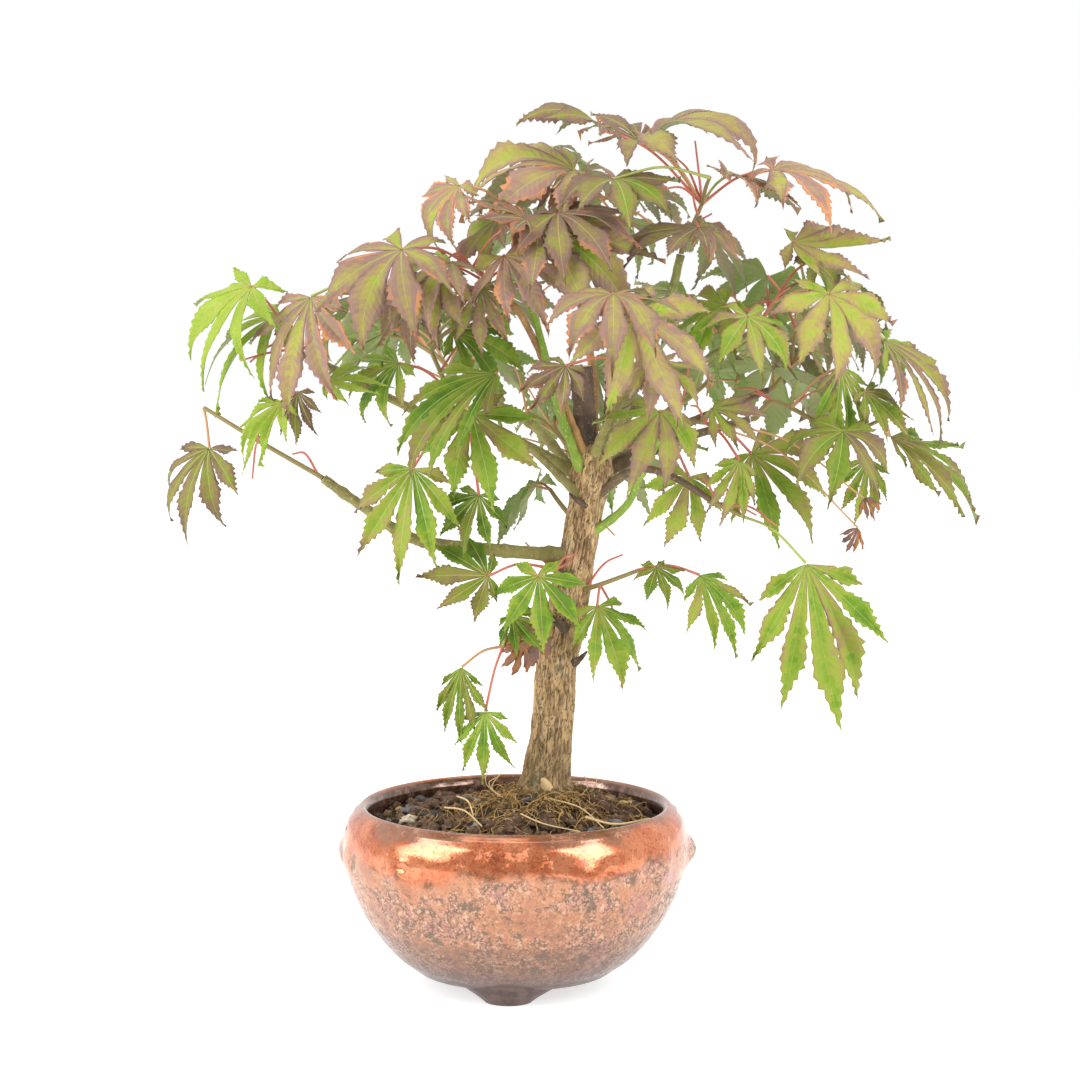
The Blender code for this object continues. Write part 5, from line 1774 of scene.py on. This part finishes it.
def clod(x, y, half, turn, seed, crumbly, sink=0.3):
    """An uneven lump of earth or stone that sits in the soil."""
    ball = bmesh.new()
    bmesh.ops.create_icosphere(ball, subdivisions=3, radius=1.0)
    turned = Matrix.Rotation(math.radians(turn), 3, "Z")
    shift = Vector((seed * 7.3, seed * 3.1, seed * 5.7))
    points = []
    for vert in ball.verts:
        coarse, fine = noise.noise(shift + vert.co * 1.1), noise.noise(shift + vert.co * 3.4)
        rough = 1 + 0.55 * coarse + crumbly * fine
        spot = turned @ Vector([a * b * rough for a, b in zip(vert.co, half)])
        points.append(spot + Vector((x, y, soil_height(x, y) + half[2] * (1 - 2 * sink))))
    faces = [tuple(vert.index for vert in face.verts) for face in ball.faces]
    ball.free()
    return points, faces


def lay_stones():
    """The larger stones and clods, each in its place."""
    stones = Piece()
    for i, (x, y, long, wide, high, turn, kind) in enumerate(STONES):
        points, faces = clod(x, y, (long, wide, high), turn, i, 0.22)
        stones.add(points, faces, [kind] * len(faces))
    finishes = [
        earth("blue_grey_stone", ((70, 70, 72), (104, 103, 104), (146, 142, 138)), 420.0),
        earth("pale_stone", ((170, 154, 130), (206, 190, 166), (230, 218, 198)), 420.0),
        earth("dark_stone", ((44, 44, 47), (72, 71, 72), (106, 104, 103)), 420.0),
        earth("yellow_scrap", ((176, 148, 84), (212, 186, 120), (232, 212, 156)), 420.0),
    ]
    place("stones", stones, finishes, "soil")
    clods, draw = Piece(), random.Random("clods")
    for i in range(CLODS):
        away, turn = draw.uniform(24, 46), draw.uniform(0, math.tau)
        size = draw.uniform(*CLOD_SIZE)
        half = (size, size * draw.uniform(0.6, 0.95), size * draw.uniform(0.5, 0.8))
        points, faces = clod(
            away * math.cos(turn), away * math.sin(turn), half, math.degrees(turn), i + 20, 0.6)
        clods.add(points, faces)
    brown = earth("brown_clod", ((62, 46, 34), (98, 74, 56), (142, 114, 88)), 900.0)
    place("clods", clods, [brown], "soil")


def dress_soil():
    lay_stones()
    points, faces = soil_skin()
    surface = Piece()
    surface.add(points, faces)
    # the soil under the grains: its own dark brown, darkened further as painted shade in the gaps
    # between the grains
    place("soil_top", surface, [earth("dark_soil_and_gap_shade", ((28, 21, 15), (48, 36, 26), (74, 55, 38)))],
          "soil", ["soil"])
    grains = (  # how many in a square metre, the least and most radius in metres, seed and tones
        ("crumbs", 150000.0, 0.0004, 0.0011, 3, ((58, 42, 30), (96, 72, 48), (150, 118, 80))),
        ("brown_lumps", 15000.0, 0.0009, 0.0022, 5, ((84, 62, 46), (124, 96, 70), (160, 130, 98))),
        ("grey_grit", 2600.0, 0.0009, 0.0024, 8, ((96, 92, 92), (140, 134, 128), (184, 176, 166))),
        ("dark_grit", 2000.0, 0.0009, 0.0024, 11, ((42, 38, 36), (72, 67, 64), (106, 100, 96))),
        ("tan_bits", 22000.0, 0.0004, 0.0012, 14,
         ((150, 118, 64), (196, 160, 96), (226, 202, 146))),
    )
    tree = grain_tree()
    inner = Piece()
    kept = [face for face in faces if max(points[i].xy.length for i in face) < 49.5]
    inner.add(points, kept)
    for name, density, least, most, seed, tones in grains:
        source = bpy.data.meshes.new(name + "_surface")
        source.from_pydata([on_floor(point) for point in inner.points], [], inner.faces)
        mesh = made_by(tree, source, {
            "Density": density, "Least": least, "Most": most, "Seed": seed,
            "Finish": earth(name, tones, 300.0)})
        mesh.shade_flat()
        enter(name, mesh)
    draw = random.Random("fibres")
    gold, brown = [], []
    for i in range(FIBRES):
        middle = draw.random() < 0.8
        away = abs(draw.gauss(0, 15)) + 5 if middle else draw.uniform(10, 46)
        turn = draw.uniform(0, math.tau)
        x, y = TRUNK[0][0] + away * math.cos(turn), away * math.sin(turn) - (3 if middle else 0)
        if math.hypot(x, y) > LEDGE - 2:
            continue
        way = smooth_way(fibre_way(draw, x, y, draw.uniform(5, 15), 3.4 if middle else 1.6), 2)
        thick = draw.uniform(0.08, 0.2)
        kind = gold if draw.random() < 0.5 else brown
        kind.append(tapered_way(way, thick, thick * 0.5))
    tubes("gold_root_fibres", gold, plain_stem("root_gold", (190, 154, 94), 0.8), 5)
    tubes("brown_root_fibres", brown, plain_stem("root_brown", (104, 78, 48), 0.85), 5)
    pale = []
    for radius, way in (*ROOTS, *WISPS):
        pale.append(tapered_way(smooth_way(way, 6), radius, radius * 0.7))
    foot, tip, radius = BUD
    way = fine_way(arched(foot, tip, 0))
    pale.append((way, [radius * (0.35 + math.sin(math.pi * (0.15 + 0.8 * i / (len(way) - 1))))
                       for i in range(len(way))]))
    tubes("pale_roots", pale, plain_stem("root_pale", (216, 186, 134), 0.75), 7)


def dress_pot():
    piece = Piece()
    points, faces, maps = pot_skin()
    piece.add(points, faces, 0, maps)
    for degrees in FOOT_ANGLES:
        foot_points, foot_faces = foot_skin(math.radians(degrees))
        piece.add(foot_points, foot_faces)
    place("glazed_pot", piece, [copper_glaze()], "copper_glaze", ["pot"])


# ---------------------------------------------------------------- room, light and camera

def softbox(name, place_at, target, width, height, power):
    light = bpy.data.lights.new(name, "AREA")
    light.shape, light.size, light.size_y, light.energy = "RECTANGLE", width, height, power
    made = bpy.data.objects.new(name, light)
    made.location = place_at
    made.rotation_euler = (Vector(target) - Vector(place_at)).to_track_quat("-Z", "Y").to_euler()
    bpy.context.scene.collection.objects.link(made)


def set_room():
    """A white sweep under soft light from all sides, a little darker behind the camera."""
    scene = bpy.context.scene
    world = bpy.data.worlds.new("studio")
    scene.world = world
    world.use_nodes = True
    tree = world.node_tree
    background = tree.nodes["Background"]
    background.inputs["Color"].default_value = (1, 1, 1, 1)
    around = add(tree, "ShaderNodeTexCoord").outputs["Generated"]
    facing = add(tree, "ShaderNodeSeparateXYZ", {0: around})
    seen = add(tree, "ShaderNodeLightPath").outputs["Is Camera Ray"]
    tone = add(tree, "ShaderNodeMix", {0: seen, 3: 1.0}, data_type="FLOAT")
    tree.links.new(band(tree, facing.outputs[1], -0.9, 0.2, 0.3), tone.inputs[2])
    tree.links.new(tone.outputs[0], background.inputs["Strength"])
    mesh = bpy.data.meshes.new("floor")
    mesh.from_pydata([(-3, -3, 0), (3, -3, 0), (3, 3, 0), (-3, 3, 0)], [], [(0, 1, 2, 3)])
    mesh.materials.append(floor_finish())
    floor = bpy.data.objects.new("floor", mesh)
    scene.collection.objects.link(floor)
    middle = on_floor(Vector((5, 0, 130)))
    softbox("left_softbox", (-1.08, -0.56, 0.78), middle, 0.9, 1.1, 16)
    softbox("right_softbox", (0.95, -0.68, 0.82), middle, 0.7, 1.0, 13)
    softbox("top_softbox", (0.0, 0.1, 1.6), middle, 1.2, 1.2, 6)
    scene.view_settings.view_transform = "Standard"


CAMERA_AT = (8.5, -1050, 277)
CAMERA_DIP = 6.65  # degrees that it looks down by
SENSOR = 36  # millimetres
FOCAL_SHARE = 3088 / 1080  # the focal length as a share of the sensor's width


def set_camera():
    scene = bpy.context.scene
    lens = bpy.data.cameras.new("camera")
    lens.sensor_width = SENSOR
    lens.lens = SENSOR * FOCAL_SHARE
    camera = bpy.data.objects.new("camera", lens)
    camera.location = on_floor(Vector(CAMERA_AT))
    camera.rotation_euler = (math.radians(90 - CAMERA_DIP), 0, 0)
    scene.collection.objects.link(camera)
    scene.camera = camera


dress_pot()
dress_soil()
dress_wood()
dress_masses()
set_room()
set_camera()
